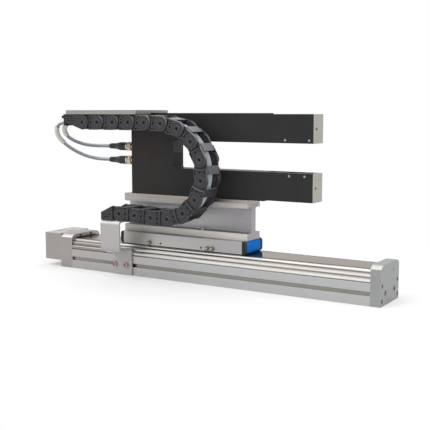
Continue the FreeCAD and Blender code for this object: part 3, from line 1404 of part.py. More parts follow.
def make_bracket():
    """The bent sheet bracket that carries the chain's fixed end, with its screws and slot nuts."""
    thick, bend = S.sheet_thickness, S.bend_radius
    soft = bend - thick
    outer_y = -S.chain_front
    foot_y = -half_rail - thick
    top = as_size(pivots[-1][1]) - S.link_radius
    step = S.bracket_step
    body = new_body("ChainBracket")
    corners = [
        (-half_rail, S.bracket_foot), (-half_rail, step, bend), (outer_y + thick, step, soft),
        (outer_y + thick, top - thick, soft), (chain_back, top - thick), (chain_back, top),
        (outer_y, top, bend), (outer_y, step - thick, bend), (foot_y, step - thick, soft), (foot_y, S.bracket_foot),
    ]
    pad(body, "YZ_Plane", S.bracket_left, S.bracket_width, rounded(corners))
    first = S.bracket_left + S.bracket_screw_edge
    spots = [first, first + S.bracket_screw_pitch]
    hole = S.bracket_screw_radius + S.screw_clearance
    pocket(body, "XZ_Plane", half_rail, thick, circles=[(x, S.slot_height, hole) for x in spots])
    keep("chain_bracket", body)

    screws, nuts = [], []
    for x in spots:
        screws.append(socket_screw(
            x, foot_y - S.bracket_head_height, S.slot_height, "+Y", S.bracket_screw_radius, S.bracket_head_radius,
            thick + S.slot_depth - S.seat_gap, S.bracket_head_height,
        ))
        chamber = -half_rail + S.slot_lip
        nut = box(
            centred(x, S.tee_nut_length), (chamber, -half_rail + S.slot_depth - S.seat_gap),
            centred(S.slot_height, S.slot_chamber - S.seat_gap * 2),
        )
        nuts.append(cut(nut, cylinder(x, chamber, S.slot_height, "+Y", hole, S.slot_depth)))
    keep("bracket_fasteners", group(*screws, *nuts))


def check_and_export():
    """Stop if an object failed or a sub-part's shape is not sound, then write every sub-part."""
    doc.recompute()
    for thing in doc.Objects:
        if "Invalid" in thing.State or "Error" in thing.State:
            raise RuntimeError(f"{thing.Name} ({thing.Label}) did not compute")
    for label, thing in nodes.items():
        if thing.Shape.isNull() or not thing.Shape.isValid() or thing.Shape.Volume <= 0:
            raise RuntimeError(f"{label} has no sound shape")
    os.makedirs("parts", exist_ok=True)
    for label, thing in nodes.items():
        thing.Shape.exportStep(f"parts/{label}.step")
    print(len(nodes), "sub-parts written")


make_rail_profile()
make_end_plates()
make_plate_screws()
make_cover_strip()
make_coupling_housing()
make_spindle()
make_guide()
make_carriage()
make_carriage_ends()
make_adapter()
make_frame()
make_end_caps()
make_frame_screws()
make_sensors()
make_connectors()
make_shelf()
make_chain_links(make_master_link())
make_terminals()
make_sensor_cables()
make_chain_cables()
make_bracket()
check_and_export()
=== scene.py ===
"""Looks of an optical thickness gauge that rides on a linear axis under an energy chain.

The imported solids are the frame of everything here. This script dresses each of them,
replaces the ones that need softer or finer shapes, and sets up a plain studio.
"""

from __future__ import annotations

import json
import logging
import math
from contextlib import contextmanager
from dataclasses import dataclass, field, replace
from enum import Enum
from typing import ClassVar, Iterator, Sequence

import bmesh
import bpy
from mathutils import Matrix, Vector

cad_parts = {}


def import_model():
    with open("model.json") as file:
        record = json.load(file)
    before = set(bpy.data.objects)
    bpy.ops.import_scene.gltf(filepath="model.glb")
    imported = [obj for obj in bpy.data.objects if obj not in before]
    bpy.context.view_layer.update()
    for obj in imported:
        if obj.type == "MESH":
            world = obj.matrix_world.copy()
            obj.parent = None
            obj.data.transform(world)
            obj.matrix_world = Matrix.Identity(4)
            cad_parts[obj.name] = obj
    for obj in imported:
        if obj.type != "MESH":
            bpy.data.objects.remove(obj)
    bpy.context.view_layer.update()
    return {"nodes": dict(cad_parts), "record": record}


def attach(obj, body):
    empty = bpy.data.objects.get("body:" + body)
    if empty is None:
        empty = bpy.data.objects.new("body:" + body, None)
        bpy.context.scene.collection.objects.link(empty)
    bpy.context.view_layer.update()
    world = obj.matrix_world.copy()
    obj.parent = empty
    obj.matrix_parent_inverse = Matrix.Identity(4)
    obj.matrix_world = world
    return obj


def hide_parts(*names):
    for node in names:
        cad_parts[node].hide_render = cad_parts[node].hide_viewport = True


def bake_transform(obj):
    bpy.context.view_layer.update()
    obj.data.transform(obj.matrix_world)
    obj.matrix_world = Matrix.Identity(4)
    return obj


LOG = logging.getLogger("thickness_gauge")
MM = 0.001
FAR = 1000.0
Point = tuple[float, float, float]
Colour = tuple[float, float, float, float]
Span = tuple[float, float]
Piece = bpy.types.Object
Material = bpy.types.Material
Socket = bpy.types.NodeSocket

# Heights on the solids in millimetres, and the middle of the sheet bracket along X.
RIDGE_FOOT = 33.4
RIDGE_CROWN = 48.6
SHOULDER = 48.8
BRACKET_X = -200.0
FOOT_TOP = 84.8
HEAD_BOTTOM = 124.6
UPPER_ARM = 207.5

# Middles of the bracket's two screw heads, and place of the adapter's screws along X and from the middle.
BRACKET_SCREWS = ((-177.6, -43.2, 17.6), (-154.2, -43.2, 17.6))
ADAPTER_SCREW = (-18.5, 13.2)

# Values that all finishes share.
# Painted shade in narrow gaps: how far it looks for cover, its near black colour, and the occlusion range
# over which it sets in.
CREVICE_SHADE_REACH = 4.0
CREVICE_SHADE_COLOUR = (8, 8, 9)
CREVICE_SHADE_RANGE = (0.9, 0.4)
EDGE_RANGE = (0.985, 0.8)
NOISE_RANGE = (0.3, 0.7)
MOTTLE_SCALE = 22.0
FINER_GRAIN = 3.7
COARSE_SHARE = 0.6
ROUGHNESS_SWINGS = {"grain": 0.16, "mottle": 0.12, "edge": -0.08}
EFFECT_SAMPLES = 4
COAT_ROUGHNESS = 0.2

# Values of the modelling bench: merging distance in metres, and softened edges of bars in millimetres.
MERGE_DISTANCE = 1e-6
BAR_EDGE = 0.2

# Sign of Y and name of the two long sides.
SIDES = ((-1, "front"), (1, "back"))


class Body(Enum):
    """The moving bodies that a piece can ride on."""

    RAIL = "rail"
    CARRIAGE = "carriage"


class Slot(Enum):
    """The record's material slots."""

    RAIL = "rail_aluminium"
    PLATE = "plate_aluminium"
    HOUSING = "housing_aluminium"
    FRAME = "frame_aluminium"
    CAP = "cap_aluminium"
    SHELF = "shelf_metal"
    BLACK_METAL = "black_anodised"
    BRACKET = "bracket_sheet"
    STRIP = "strip_steel"
    GROUND = "ground_steel"
    DARK_SCREW = "screw_steel"
    ZINC = "zinc_steel"
    BRASS = "nickel_brass"
    CHAIN = "chain_plastic"
    BLACK_PLASTIC = "black_plastic"
    BLUE = "blue_plastic"
    SLEEVE = "white_sleeve"
    JACKET = "cable_jacket"
    CHAIN_JACKET = "chain_cable_jacket"
    GLASS = "window_glass"


class Lay(Enum):
    """How a surface's grain runs, as stretches of its pattern along X, Y and Z."""

    ALONG_X = (0.02, 1.0, 1.0)
    ALONG_Y = (1.0, 0.03, 1.0)
    ALONG_Z = (1.0, 1.0, 0.03)
    EVEN = (1.0, 1.0, 1.0)


class Facing(Enum):
    """The ways that tinted faces look, as vectors of about unit length."""

    UP = (0.0, 0.0, 1.0)
    DOWN = (0.0, 0.0, -1.0)
    FRONT = (0.0, -1.0, 0.0)
    RIGHT = (1.0, 0.0, 0.0)
    RIDGE_SIDE = (0.0, -0.8, -0.6)
    PLATE_CORNER = (0.0, -0.7, 0.7)
    BEND_OUTSIDE = (0.75, -0.2, 0.63)
    BEND_CROWN = (0.66, -0.2, 0.72)


class Axis(Enum):
    """A direction that turned pieces grow along, with the turn of their first ring."""

    MINUS_X = ((-1.0, 0.0, 0.0), (0.0, math.pi / 2, 0.0))
    PLUS_Y = ((0.0, 1.0, 0.0), (math.pi / 2, 0.0, 0.0))
    PLUS_Z = ((0.0, 0.0, 1.0), (0.0, 0.0, 0.0))
    MINUS_Z = ((0.0, 0.0, -1.0), (0.0, 0.0, 0.0))

    @property
    def way(self) -> Vector:
        """The unit vector along the axis."""
        return Vector(self.value[0])

    @property
    def turn(self) -> Point:
        """The rotation that lays a flat ring across the axis."""
        return self.value[1]


def as_seen(shade: Sequence[float]) -> Colour:
    """Turn a display colour into linear light, by the sRGB curve.

    Args:
        shade: Red, green and blue on the 0 to 255 display scale.

    Returns:
        The linear colour with full alpha.
    """
    channels = [value / 255 for value in shade]
    linear = [value / 12.92 if value <= 0.04045 else ((value + 0.055) / 1.055) ** 2.4 for value in channels]
    return (*linear, 1.0)


def metres(point: Sequence[float]) -> Vector:
    """Turn a point in millimetres into a vector in metres."""
    return Vector(point) * MM


# Finishes


@dataclass(frozen=True)
class Tint:
    """A colour that a surface takes where it faces one way; most tints paint light and shade onto faces by
    the way they look.
    """

    way: Facing  # The way that the tinted faces look
    start: float  # Cosine to that way at which the tint sets in
    full: float  # Cosine at which it is complete
    colour: Point  # Display colour of the tint
    above: float = -FAR  # Height in millimetres that it is kept above
    below: float = FAR  # Height that it is kept below
    right_of: float = -FAR  # Place along X that it is kept right of
    left_of: float = FAR  # Place along X that it is kept left of
    fade: float = 0.01  # Distance in millimetres over which it dies away past these places


@dataclass(frozen=True)
class Finish:
    """How one material looks."""

    colour: Point  # Display colour of the bare surface
    metallic: float = 1.0  # 1 for bare metal, 0 for plastic and paint
    roughness: float = 0.35  # Mean roughness
    lay: Lay = Lay.EVEN  # Direction of the grain
    grain: float = 0.6  # Size of the grain in millimetres
    contrast: float = 0.12  # How far the grain changes the colour
    relief: float = 0.01  # Height of the grain in millimetres
    mottle: float = 0.08  # How far slow patches change the colour
    wear_and_sheen: float = 0.5  # How far edges go towards the edge colour, as rubbed wear and painted highlight
    edge: Point = (215, 214, 210)  # Display colour of edges: rubbed wear with a painted highlight
    soften: float = 0.6  # Radius in millimetres over which edges look rounded
    gloss: float = 0.5  # Specular level of the shader
    coat: float = 0.0  # Weight of a clear coat
    glance: Point = (255, 255, 255)  # Display colour of the reflection at a grazing angle
    tints: tuple[Tint, ...] = ()  # Colours of faces that look one way, mostly painted light and shade, each over the ones before it
    crevice_shade: float = 0.0  # How far narrow gaps are darkened with painted shade


EXTRUDED = Finish(
    (178, 177, 177), roughness=0.3, lay=Lay.ALONG_X, grain=0.5, relief=0.001, mottle=0.05, wear_and_sheen=0.35,
)
MILLED = Finish((160, 156, 153), roughness=0.38, lay=Lay.ALONG_X, grain=0.35, relief=0.005, mottle=0.06)
PLATED = Finish((150, 151, 151), roughness=0.26, grain=0.3, relief=0.004, wear_and_sheen=0.4, soften=0.2)
ANODISED = Finish(
    (50, 47, 46), 0.0, 0.42, Lay.ALONG_X, 0.3, 0.18, 0.002, 0.16, 0.3, (98, 92, 88), 0.35, gloss=0.14,
    tints=(Tint(Facing.FRONT, 0.5, 0.9, (42, 42, 43), right_of=-60.0, fade=40.0),),
)
MOULDED = Finish(
    (34, 34, 35), 0.0, 0.46, grain=0.25, contrast=0.14, relief=0.006, mottle=0.1, wear_and_sheen=0.3, edge=(86, 86, 88),
    soften=0.5, gloss=0.25,
)
PLUG_GRIP = replace(
    MOULDED, colour=(62, 62, 63), contrast=0.1, relief=0.004, edge=(100, 100, 102), soften=0.3,
    # Painted light: the grip's faces that look up are lighter.
    tints=(Tint(Facing.UP, 0.3, 1.0, (112, 110, 111)),),
)
SKIN = Finish((162, 174, 184), 0.0, grain=1.5, contrast=0.02, relief=0.0005, wear_and_sheen=0.0, soften=0.1)

FINISHES: dict[Slot, Finish] = {
    Slot.RAIL: EXTRUDED,
    Slot.PLATE: replace(MILLED, lay=Lay.ALONG_Y, wear_and_sheen=0.6),
    Slot.HOUSING: replace(
        MILLED, colour=(160, 154, 153), roughness=0.42, lay=Lay.EVEN, contrast=0.08, relief=0.002,
        # Painted highlight on the faces that look up.
        tints=(Tint(Facing.UP, 0.5, 0.95, (188, 182, 176)),),
    ),
    Slot.FRAME: replace(MILLED, colour=(170, 163, 155)),
    Slot.CAP: replace(MILLED, colour=(170, 168, 158), lay=Lay.ALONG_Z),
    Slot.SHELF: replace(
        EXTRUDED, colour=(155, 151, 147), roughness=0.46, grain=0.3, contrast=0.06, wear_and_sheen=0.3, soften=0.4,
    ),
    Slot.BLACK_METAL: ANODISED,
    Slot.BRACKET: Finish(
        (171, 169, 168), 0.0, 0.42, grain=0.4, contrast=0.04, relief=0.006, mottle=0.04, wear_and_sheen=0.35, soften=0.7,
        # Painted highlight on the faces that look up, on the top bend.
        tints=(Tint(Facing.UP, 0.02, 0.6, (236, 234, 231), above=80.0),),
    ),
    Slot.STRIP: replace(
        EXTRUDED, colour=(106, 101, 95), roughness=0.15, glance=(244, 240, 234), contrast=0.06, mottle=0.04,
        wear_and_sheen=0.2, soften=0.1,
    ),
    Slot.GROUND: replace(
        PLATED, colour=(160, 160, 162), lay=Lay.ALONG_X, contrast=0.1, relief=0.003, mottle=0.05, wear_and_sheen=0.3,
    ),
    Slot.DARK_SCREW: replace(PLATED, colour=(92, 90, 88), roughness=0.36, contrast=0.14, wear_and_sheen=0.5),
    Slot.ZINC: PLATED,
    # Painted shade darkens the brass parts' narrow gaps, such as the knurl's grooves.
    Slot.BRASS: replace(
        PLATED, colour=(220, 206, 184), metallic=0.8, roughness=0.42, lay=Lay.ALONG_X, contrast=0.14, wear_and_sheen=0.6,
        edge=(214, 204, 182), crevice_shade=0.9,
    ),
    Slot.CHAIN: replace(
        # The links' pale edges are partly painted highlight, and the gaps between them get painted shade.
        MOULDED, colour=(49, 47, 50), roughness=0.42, contrast=0.1, relief=0.004, mottle=0.12, wear_and_sheen=0.8,
        edge=(146, 146, 152), soften=0.6, gloss=0.3, crevice_shade=0.9,
        # Painted highlights on the faces that look out of the bend and up on its crown.
        tints=(
            Tint(Facing.BEND_OUTSIDE, 0.55, 0.95, (82, 81, 84)),
            Tint(Facing.BEND_CROWN, 0.58, 0.92, (126, 125, 129), above=150.0),
        ),
    ),
    Slot.BLACK_PLASTIC: MOULDED,
    Slot.BLUE: replace(
        MOULDED, colour=(0, 120, 222), roughness=0.4, grain=0.3, contrast=0.04, relief=0.002, mottle=0.05,
        wear_and_sheen=0.1, edge=(20, 130, 225), gloss=0.04,
    ),
    Slot.SLEEVE: replace(SKIN, colour=(196, 193, 188), roughness=0.34, coat=0.35),
    Slot.JACKET: replace(
        SKIN, colour=(122, 128, 136), roughness=0.3, mottle=0.06, coat=0.15,
        # Painted light: the cables are lighter on top.
        tints=(Tint(Facing.UP, -0.2, 0.8, (228, 231, 234)),),
    ),
    Slot.CHAIN_JACKET: SKIN,
    Slot.GLASS: replace(
        SKIN, colour=(92, 40, 44), roughness=0.08, grain=2.0, relief=0.0, mottle=0.02, coat=0.5,
    ),
}

# Pieces that look a little different from the rest of their slot, by the start of their names; much of the
# difference is painted light and shade.
OWN_FINISHES: dict[str, Finish] = {
    "rail_profile": replace(
        EXTRUDED, colour=(182, 182, 183), roughness=0.34, contrast=0.06, relief=0.0,
        tints=(
            # Painted reflection on the ridges: faces that look sideways and down are bright, faces that look
            # up are dark.
            Tint(Facing.DOWN, -0.35, 0.05, (240, 238, 234), above=RIDGE_FOOT),
            Tint(Facing.DOWN, 0.45, 0.75, (188, 184, 178), above=RIDGE_FOOT),
            Tint(Facing.UP, 0.2, 0.62, (100, 94, 86), above=RIDGE_FOOT),
            # Painted shade: the ridges' sides are duller towards the left, and darker left of the bracket.
            Tint(Facing.RIDGE_SIDE, 0.2, 0.7, (173, 171, 170), below=RIDGE_CROWN, left_of=-215.0, fade=200.0),
            Tint(
                Facing.RIDGE_SIDE, 0.2, 0.7, (148, 143, 136), above=RIDGE_FOOT, below=RIDGE_CROWN,
                left_of=BRACKET_X,
            ),
            # Painted light on the faces that look up above the shoulder, dimmer left of the bracket.
            Tint(Facing.UP, 0.0, 0.4, (194, 191, 187), above=SHOULDER),
            Tint(Facing.UP, 0.0, 0.4, (168, 165, 160), above=SHOULDER, left_of=BRACKET_X),
        ),
    ),
    "slot_strip": replace(
        EXTRUDED, colour=(134, 130, 124), metallic=0.0, roughness=0.5, contrast=0.08, relief=0.002,
        mottle=0.1, wear_and_sheen=0.5,
    ),
    "carriage_body": replace(
        MILLED, colour=(170, 168, 168), roughness=0.5, contrast=0.08, relief=0.002,
        # Painted light: the front is lighter towards the left.
        tints=(Tint(Facing.FRONT, 0.5, 0.9, (190, 187, 184), left_of=-120.0, fade=160.0),),
    ),
    "adapter_profile": Finish(
        (172, 171, 173), 0.25, 0.5, Lay.ALONG_X, grain=1.4, contrast=0.2, relief=0.003, mottle=0.1,
        tints=(
            # Painted light and shade: the front darker to the right and lighter to the left, the foot's top
            # darker, the foot's front and the head's flange lighter.
            Tint(Facing.FRONT, 0.5, 0.9, (156, 153, 157), right_of=60.0, fade=110.0),
            Tint(Facing.FRONT, 0.5, 0.9, (205, 203, 204), left_of=-70.0, fade=110.0),
            Tint(Facing.UP, 0.5, 0.9, (118, 114, 110), above=80.0, below=90.0),
            Tint(Facing.FRONT, 0.5, 0.9, (210, 205, 200), below=FOOT_TOP),
            Tint(Facing.FRONT, 0.5, 0.9, (184, 182, 180), above=HEAD_BOTTOM),
        ),
    ),
    "end_plate_left": replace(
        MILLED, colour=(162, 155, 155), roughness=0.42, lay=Lay.ALONG_Z, contrast=0.08, relief=0.002,
        # Painted highlight on the rounded corner of the shoulder.
        mottle=0.08, tints=(Tint(Facing.PLATE_CORNER, 0.82, 0.98, (216, 212, 210)),),
    ),
    "end_plate_right": replace(
        MILLED, colour=(153, 154, 155), roughness=0.4, lay=Lay.ALONG_Y, contrast=0.1, relief=0.002,
        # Painted highlight on the rounded corner of the shoulder.
        mottle=0.1, tints=(Tint(Facing.PLATE_CORNER, 0.72, 0.9, (178, 177, 173)),),
    ),
    "frame_core": replace(
        ANODISED, colour=(46, 43, 42),
        tints=(
            # Painted shade on the inner faces that look right, and painted light on them above the upper arm.
            Tint(Facing.RIGHT, 0.8, 0.95, (20, 19, 18)),
            Tint(Facing.RIGHT, 0.8, 0.95, (66, 64, 61), above=UPPER_ARM),
        ),
    ),
    # Painted shade darkens the screw heads that look right, on the end caps.
    "frame_screws": replace(PLATED, tints=(Tint(Facing.RIGHT, 0.7, 0.9, (58, 54, 50)),)),
    "grease_nipples": replace(PLATED, colour=(158, 152, 132), roughness=0.3, contrast=0.14, wear_and_sheen=0.5),
    "upper_connector_plug": PLUG_GRIP,
    "lower_connector_plug": PLUG_GRIP,
    "paint_mark": Finish((176, 28, 44), 0.0, 0.4, grain=0.4, contrast=0.1, mottle=0.1, wear_and_sheen=0.0, soften=0.1),
}


class Wiring:
    """Adds and joins the nodes of one shader tree, and keeps the groups that are built."""

    groups: ClassVar[dict[str, bpy.types.NodeTree]] = {}
    kinds: ClassVar[dict[str, str]] = {
        "Lay": "Vector", "Way": "Vector", "Low": "Vector", "High": "Vector", "Normal": "Vector",
        "Colour": "Color", "Edge Colour": "Color",
    }

    def __init__(self, tree: bpy.types.NodeTree) -> None:
        """Keep the tree that is being wired."""
        self.tree = tree

    @classmethod
    def of(cls, holder: Material | bpy.types.World) -> Wiring:
        """Empty a material's or world's own tree and return its wiring.

        Args:
            holder: The material or world.

        Returns:
            The wiring.
        """
        holder.use_nodes = True
        holder.node_tree.nodes.clear()
        return cls(holder.node_tree)

    @classmethod
    def group(
        cls, name: str, inputs: Sequence[str], outputs: Sequence[str],
    ) -> tuple[Wiring, bpy.types.NodeOutputs, bpy.types.NodeInputs]:
        """Start a node group.

        Args:
            name: Name of the group.
            inputs: Names of its inputs.
            outputs: Names of its outputs.

        Returns:
            The wiring of the group, what comes in by its inputs, and the sockets of its outputs.
        """
        tree = bpy.data.node_groups.new(name, "ShaderNodeTree")
        for side, labels in (("INPUT", inputs), ("OUTPUT", outputs)):
            for label in labels:
                kind = cls.kinds.get(label, "Float")
                tree.interface.new_socket(name=label, in_out=side, socket_type=f"NodeSocket{kind}")
        cls.groups[name] = tree
        wiring = cls(tree)
        return wiring, wiring.add("NodeGroupInput").outputs, wiring.add("NodeGroupOutput").inputs

    def add(self, kind: str, feeds: dict | None = None, **settings: object) -> bpy.types.Node:
        """Add a node.

        Args:
            kind: Blender's identifier of the node type.
            feeds: What goes into its inputs, by their name or number.
            **settings: Node properties to set.

        Returns:
            The new node.
        """
        node = self.tree.nodes.new(kind)
        for name, value in settings.items():
            setattr(node, name, value)
        for key, value in (feeds or {}).items():
            self.feed(node.inputs[key], value)
        return node

    def feed(self, socket: Socket, value: object) -> None:
        """Give a socket another socket's output or a constant.

        Args:
            socket: The input socket.
            value: An output socket, a number or a tuple.
        """
        if isinstance(value, Socket):
            self.tree.links.new(value, socket)
        else:
            socket.default_value = value

    def effect(self, name: str, feeds: dict[str, object]) -> bpy.types.NodeOutputs:
        """Place a group, feed its inputs and return its outputs."""
        return self.add("ShaderNodeGroup", feeds, node_tree=self.groups[name], label=name).outputs

    def math(self, operation: str, *values: object, clamp: bool = False) -> Socket:
        """Return the result of a Math node, kept between 0 and 1 where clamp is set."""
        node = self.add("ShaderNodeMath", dict(enumerate(values)), operation=operation, use_clamp=clamp)
        return node.outputs[0]

    def vector(self, operation: str, *values: object, output: str = "Vector") -> Socket:
        """Return one of the results of a Vector Math node."""
        return self.add("ShaderNodeVectorMath", dict(enumerate(values)), operation=operation).outputs[output]

    def places(self) -> bpy.types.NodeOutputs:
        """Return the outputs of a Texture Coordinate node."""
        return self.add("ShaderNodeTexCoord").outputs

    def noise(self, place: object, scale: object, detail: float, distortion: float = 0.0) -> Socket:
        """Return a Noise Texture's pattern, with its scale in repeats per metre."""
        feeds = {"Vector": place, "Scale": scale, "Detail": detail, "Distortion": distortion}
        return self.add("ShaderNodeTexNoise", feeds).outputs["Fac"]

    def stretch(self, value: object, low: object, high: object) -> Socket:
        """Map the range from low to high onto 0 to 1, with clamping."""
        feeds = {"Value": value, "From Min": low, "From Max": high}
        return self.add("ShaderNodeMapRange", feeds).outputs["Result"]

    def swing(self, value: object, reach: object) -> Socket:
        """Turn a value from 0 to 1 into one that swings round 0 by half the reach."""
        return self.math("MULTIPLY", self.math("SUBTRACT", value, 0.5), reach)

    def blend(self, share: object, first: object, second: object) -> Socket:
        """Mix two colours by a share from 0, the first, to 1, the second."""
        return self.add("ShaderNodeMix", {0: share, 6: first, 7: second}, data_type="RGBA").outputs[2]

    def seen(self) -> Socket:
        """Tell the rays that show a surface from those that light others.

        Returns:
            1 for rays of the camera, of gloss and through glass, and 0 for diffuse light.
        """
        rays = self.add("ShaderNodeLightPath").outputs
        direct = self.math("MAXIMUM", rays["Is Camera Ray"], rays["Is Glossy Ray"])
        return self.math("MAXIMUM", direct, rays["Is Transmission Ray"])


class EffectGroups:
    """The shader node groups that every material is put together from."""

    def build(self) -> None:
        """Build every group once."""
        self.build_grain()
        self.build_mottle()
        self.build_edge_mask()
        self.build_facing_mask()
        self.build_crevice_shade_mask()
        self.build_dressed_colour()
        self.build_dressed_roughness()
        self.build_relief()

    def build_grain(self) -> None:
        """Fine grain that can be drawn out along one axis, as a tone and a height."""
        wiring, given, made = Wiring.group("surface_grain", ("Lay", "Scale"), ("Tone", "Height"))
        laid = wiring.vector("MULTIPLY", wiring.places()["Object"], given["Lay"])
        coarse = wiring.noise(laid, given["Scale"], 3.0)
        fine = wiring.noise(laid, wiring.math("MULTIPLY", given["Scale"], FINER_GRAIN), 2.0)
        slow = wiring.math("MULTIPLY", coarse, COARSE_SHARE)
        tone = wiring.math("ADD", slow, wiring.math("MULTIPLY", fine, 1.0 - COARSE_SHARE))
        wiring.feed(made["Tone"], wiring.stretch(tone, *NOISE_RANGE))
        wiring.feed(made["Height"], fine)

    def build_mottle(self) -> None:
        """Slow patches, as from handling and uneven anodising."""
        wiring, given, made = Wiring.group("handling_mottle", ("Scale",), ("Tone",))
        patches = wiring.noise(wiring.places()["Object"], given["Scale"], 2.0, 0.6)
        wiring.feed(made["Tone"], wiring.stretch(patches, *NOISE_RANGE))

    def build_edge_mask(self) -> None:
        """A mask that is 1 on outside and inside edges and 0 on flat faces."""
        wiring, given, made = Wiring.group("edge_mask", ("Radius",), ("Mask",))
        rounded = wiring.add("ShaderNodeBevel", {"Radius": given["Radius"]}, samples=EFFECT_SAMPLES)
        straight = wiring.add("ShaderNodeNewGeometry").outputs["Normal"]
        agreement = wiring.vector("DOT_PRODUCT", rounded.outputs["Normal"], straight, output="Value")
        wiring.feed(made["Mask"], wiring.stretch(agreement, *EDGE_RANGE))

    def build_facing_mask(self) -> None:
        """A mask that is 1 where a surface looks along a direction, inside a box; it places painted light and
        shade.
        """
        wiring, given, made = Wiring.group(
            "facing_mask", ("Way", "Start", "Full", "Low", "High", "Fade"), ("Mask",),
        )
        places = wiring.places()
        cosine = wiring.vector("DOT_PRODUCT", places["Normal"], given["Way"], output="Value")
        facing = wiring.stretch(cosine, given["Start"], given["Full"])
        raised = wiring.vector("MAXIMUM", places["Object"], given["Low"])
        held = wiring.vector("MINIMUM", raised, given["High"])
        outside = wiring.vector("DISTANCE", places["Object"], held, output="Value")
        inside = wiring.stretch(outside, given["Fade"], 0.0)
        wiring.feed(made["Mask"], wiring.math("MULTIPLY", facing, inside))

    def build_crevice_shade_mask(self) -> None:
        """A mask of painted shade: 1 in narrow gaps, where light is shut out, and 0 on open faces."""
        wiring, given, made = Wiring.group("crevice_mask", ("Reach",), ("Mask",))
        shut = wiring.add("ShaderNodeAmbientOcclusion", {"Distance": given["Reach"]}, samples=EFFECT_SAMPLES)
        wiring.feed(made["Mask"], wiring.stretch(shut.outputs["AO"], *CREVICE_SHADE_RANGE))

    def build_dressed_colour(self) -> None:
        """Base colour changed by grain, mottle and edges that are rubbed and carry a painted highlight."""
        wiring, given, made = Wiring.group(
            "dressed_colour",
            ("Colour", "Edge Colour", "Grain", "Contrast", "Mottle", "Depth", "Edge", "Rub"), ("Colour",),
        )
        grain = wiring.swing(given["Grain"], given["Contrast"])
        mottle = wiring.swing(given["Mottle"], given["Depth"])
        factor = wiring.math("ADD", wiring.math("ADD", grain, mottle), 1.0)
        spread = wiring.add("ShaderNodeCombineColor", dict.fromkeys(range(3), factor))
        toned = wiring.vector("MULTIPLY", given["Colour"], spread.outputs[0])
        # Edges lean towards the edge colour: rubbed wear and painted highlight.
        share = wiring.math("MULTIPLY", given["Edge"], given["Rub"], clamp=True)
        wiring.feed(made["Colour"], wiring.blend(share, toned, given["Edge Colour"]))

    def build_dressed_roughness(self) -> None:
        """Roughness changed by grain, mottle and polished edges."""
        wiring, given, made = Wiring.group(
            "dressed_roughness", ("Roughness", "Grain", "Mottle", "Edge"), ("Roughness",),
        )
        grain = wiring.swing(given["Grain"], ROUGHNESS_SWINGS["grain"])
        mottle = wiring.swing(given["Mottle"], ROUGHNESS_SWINGS["mottle"])
        polish = wiring.math("MULTIPLY", given["Edge"], ROUGHNESS_SWINGS["edge"])
        total = wiring.math("ADD", wiring.math("ADD", grain, mottle), wiring.math("ADD", polish, 1.0))
        wiring.feed(made["Roughness"], wiring.math("MULTIPLY", given["Roughness"], total, clamp=True))

    def build_relief(self) -> None:
        """The shading normal of softened edges with the grain's height on it."""
        wiring, given, made = Wiring.group("softened_relief", ("Height", "Distance", "Radius"), ("Normal",))
        rounded = wiring.add("ShaderNodeBevel", {"Radius": given["Radius"]}, samples=EFFECT_SAMPLES)
        bump = wiring.add("ShaderNodeBump", {
            "Strength": 1.0, "Distance": given["Distance"], "Height": given["Height"],
            "Normal": rounded.outputs["Normal"],
        })
        wiring.feed(made["Normal"], bump.outputs["Normal"])


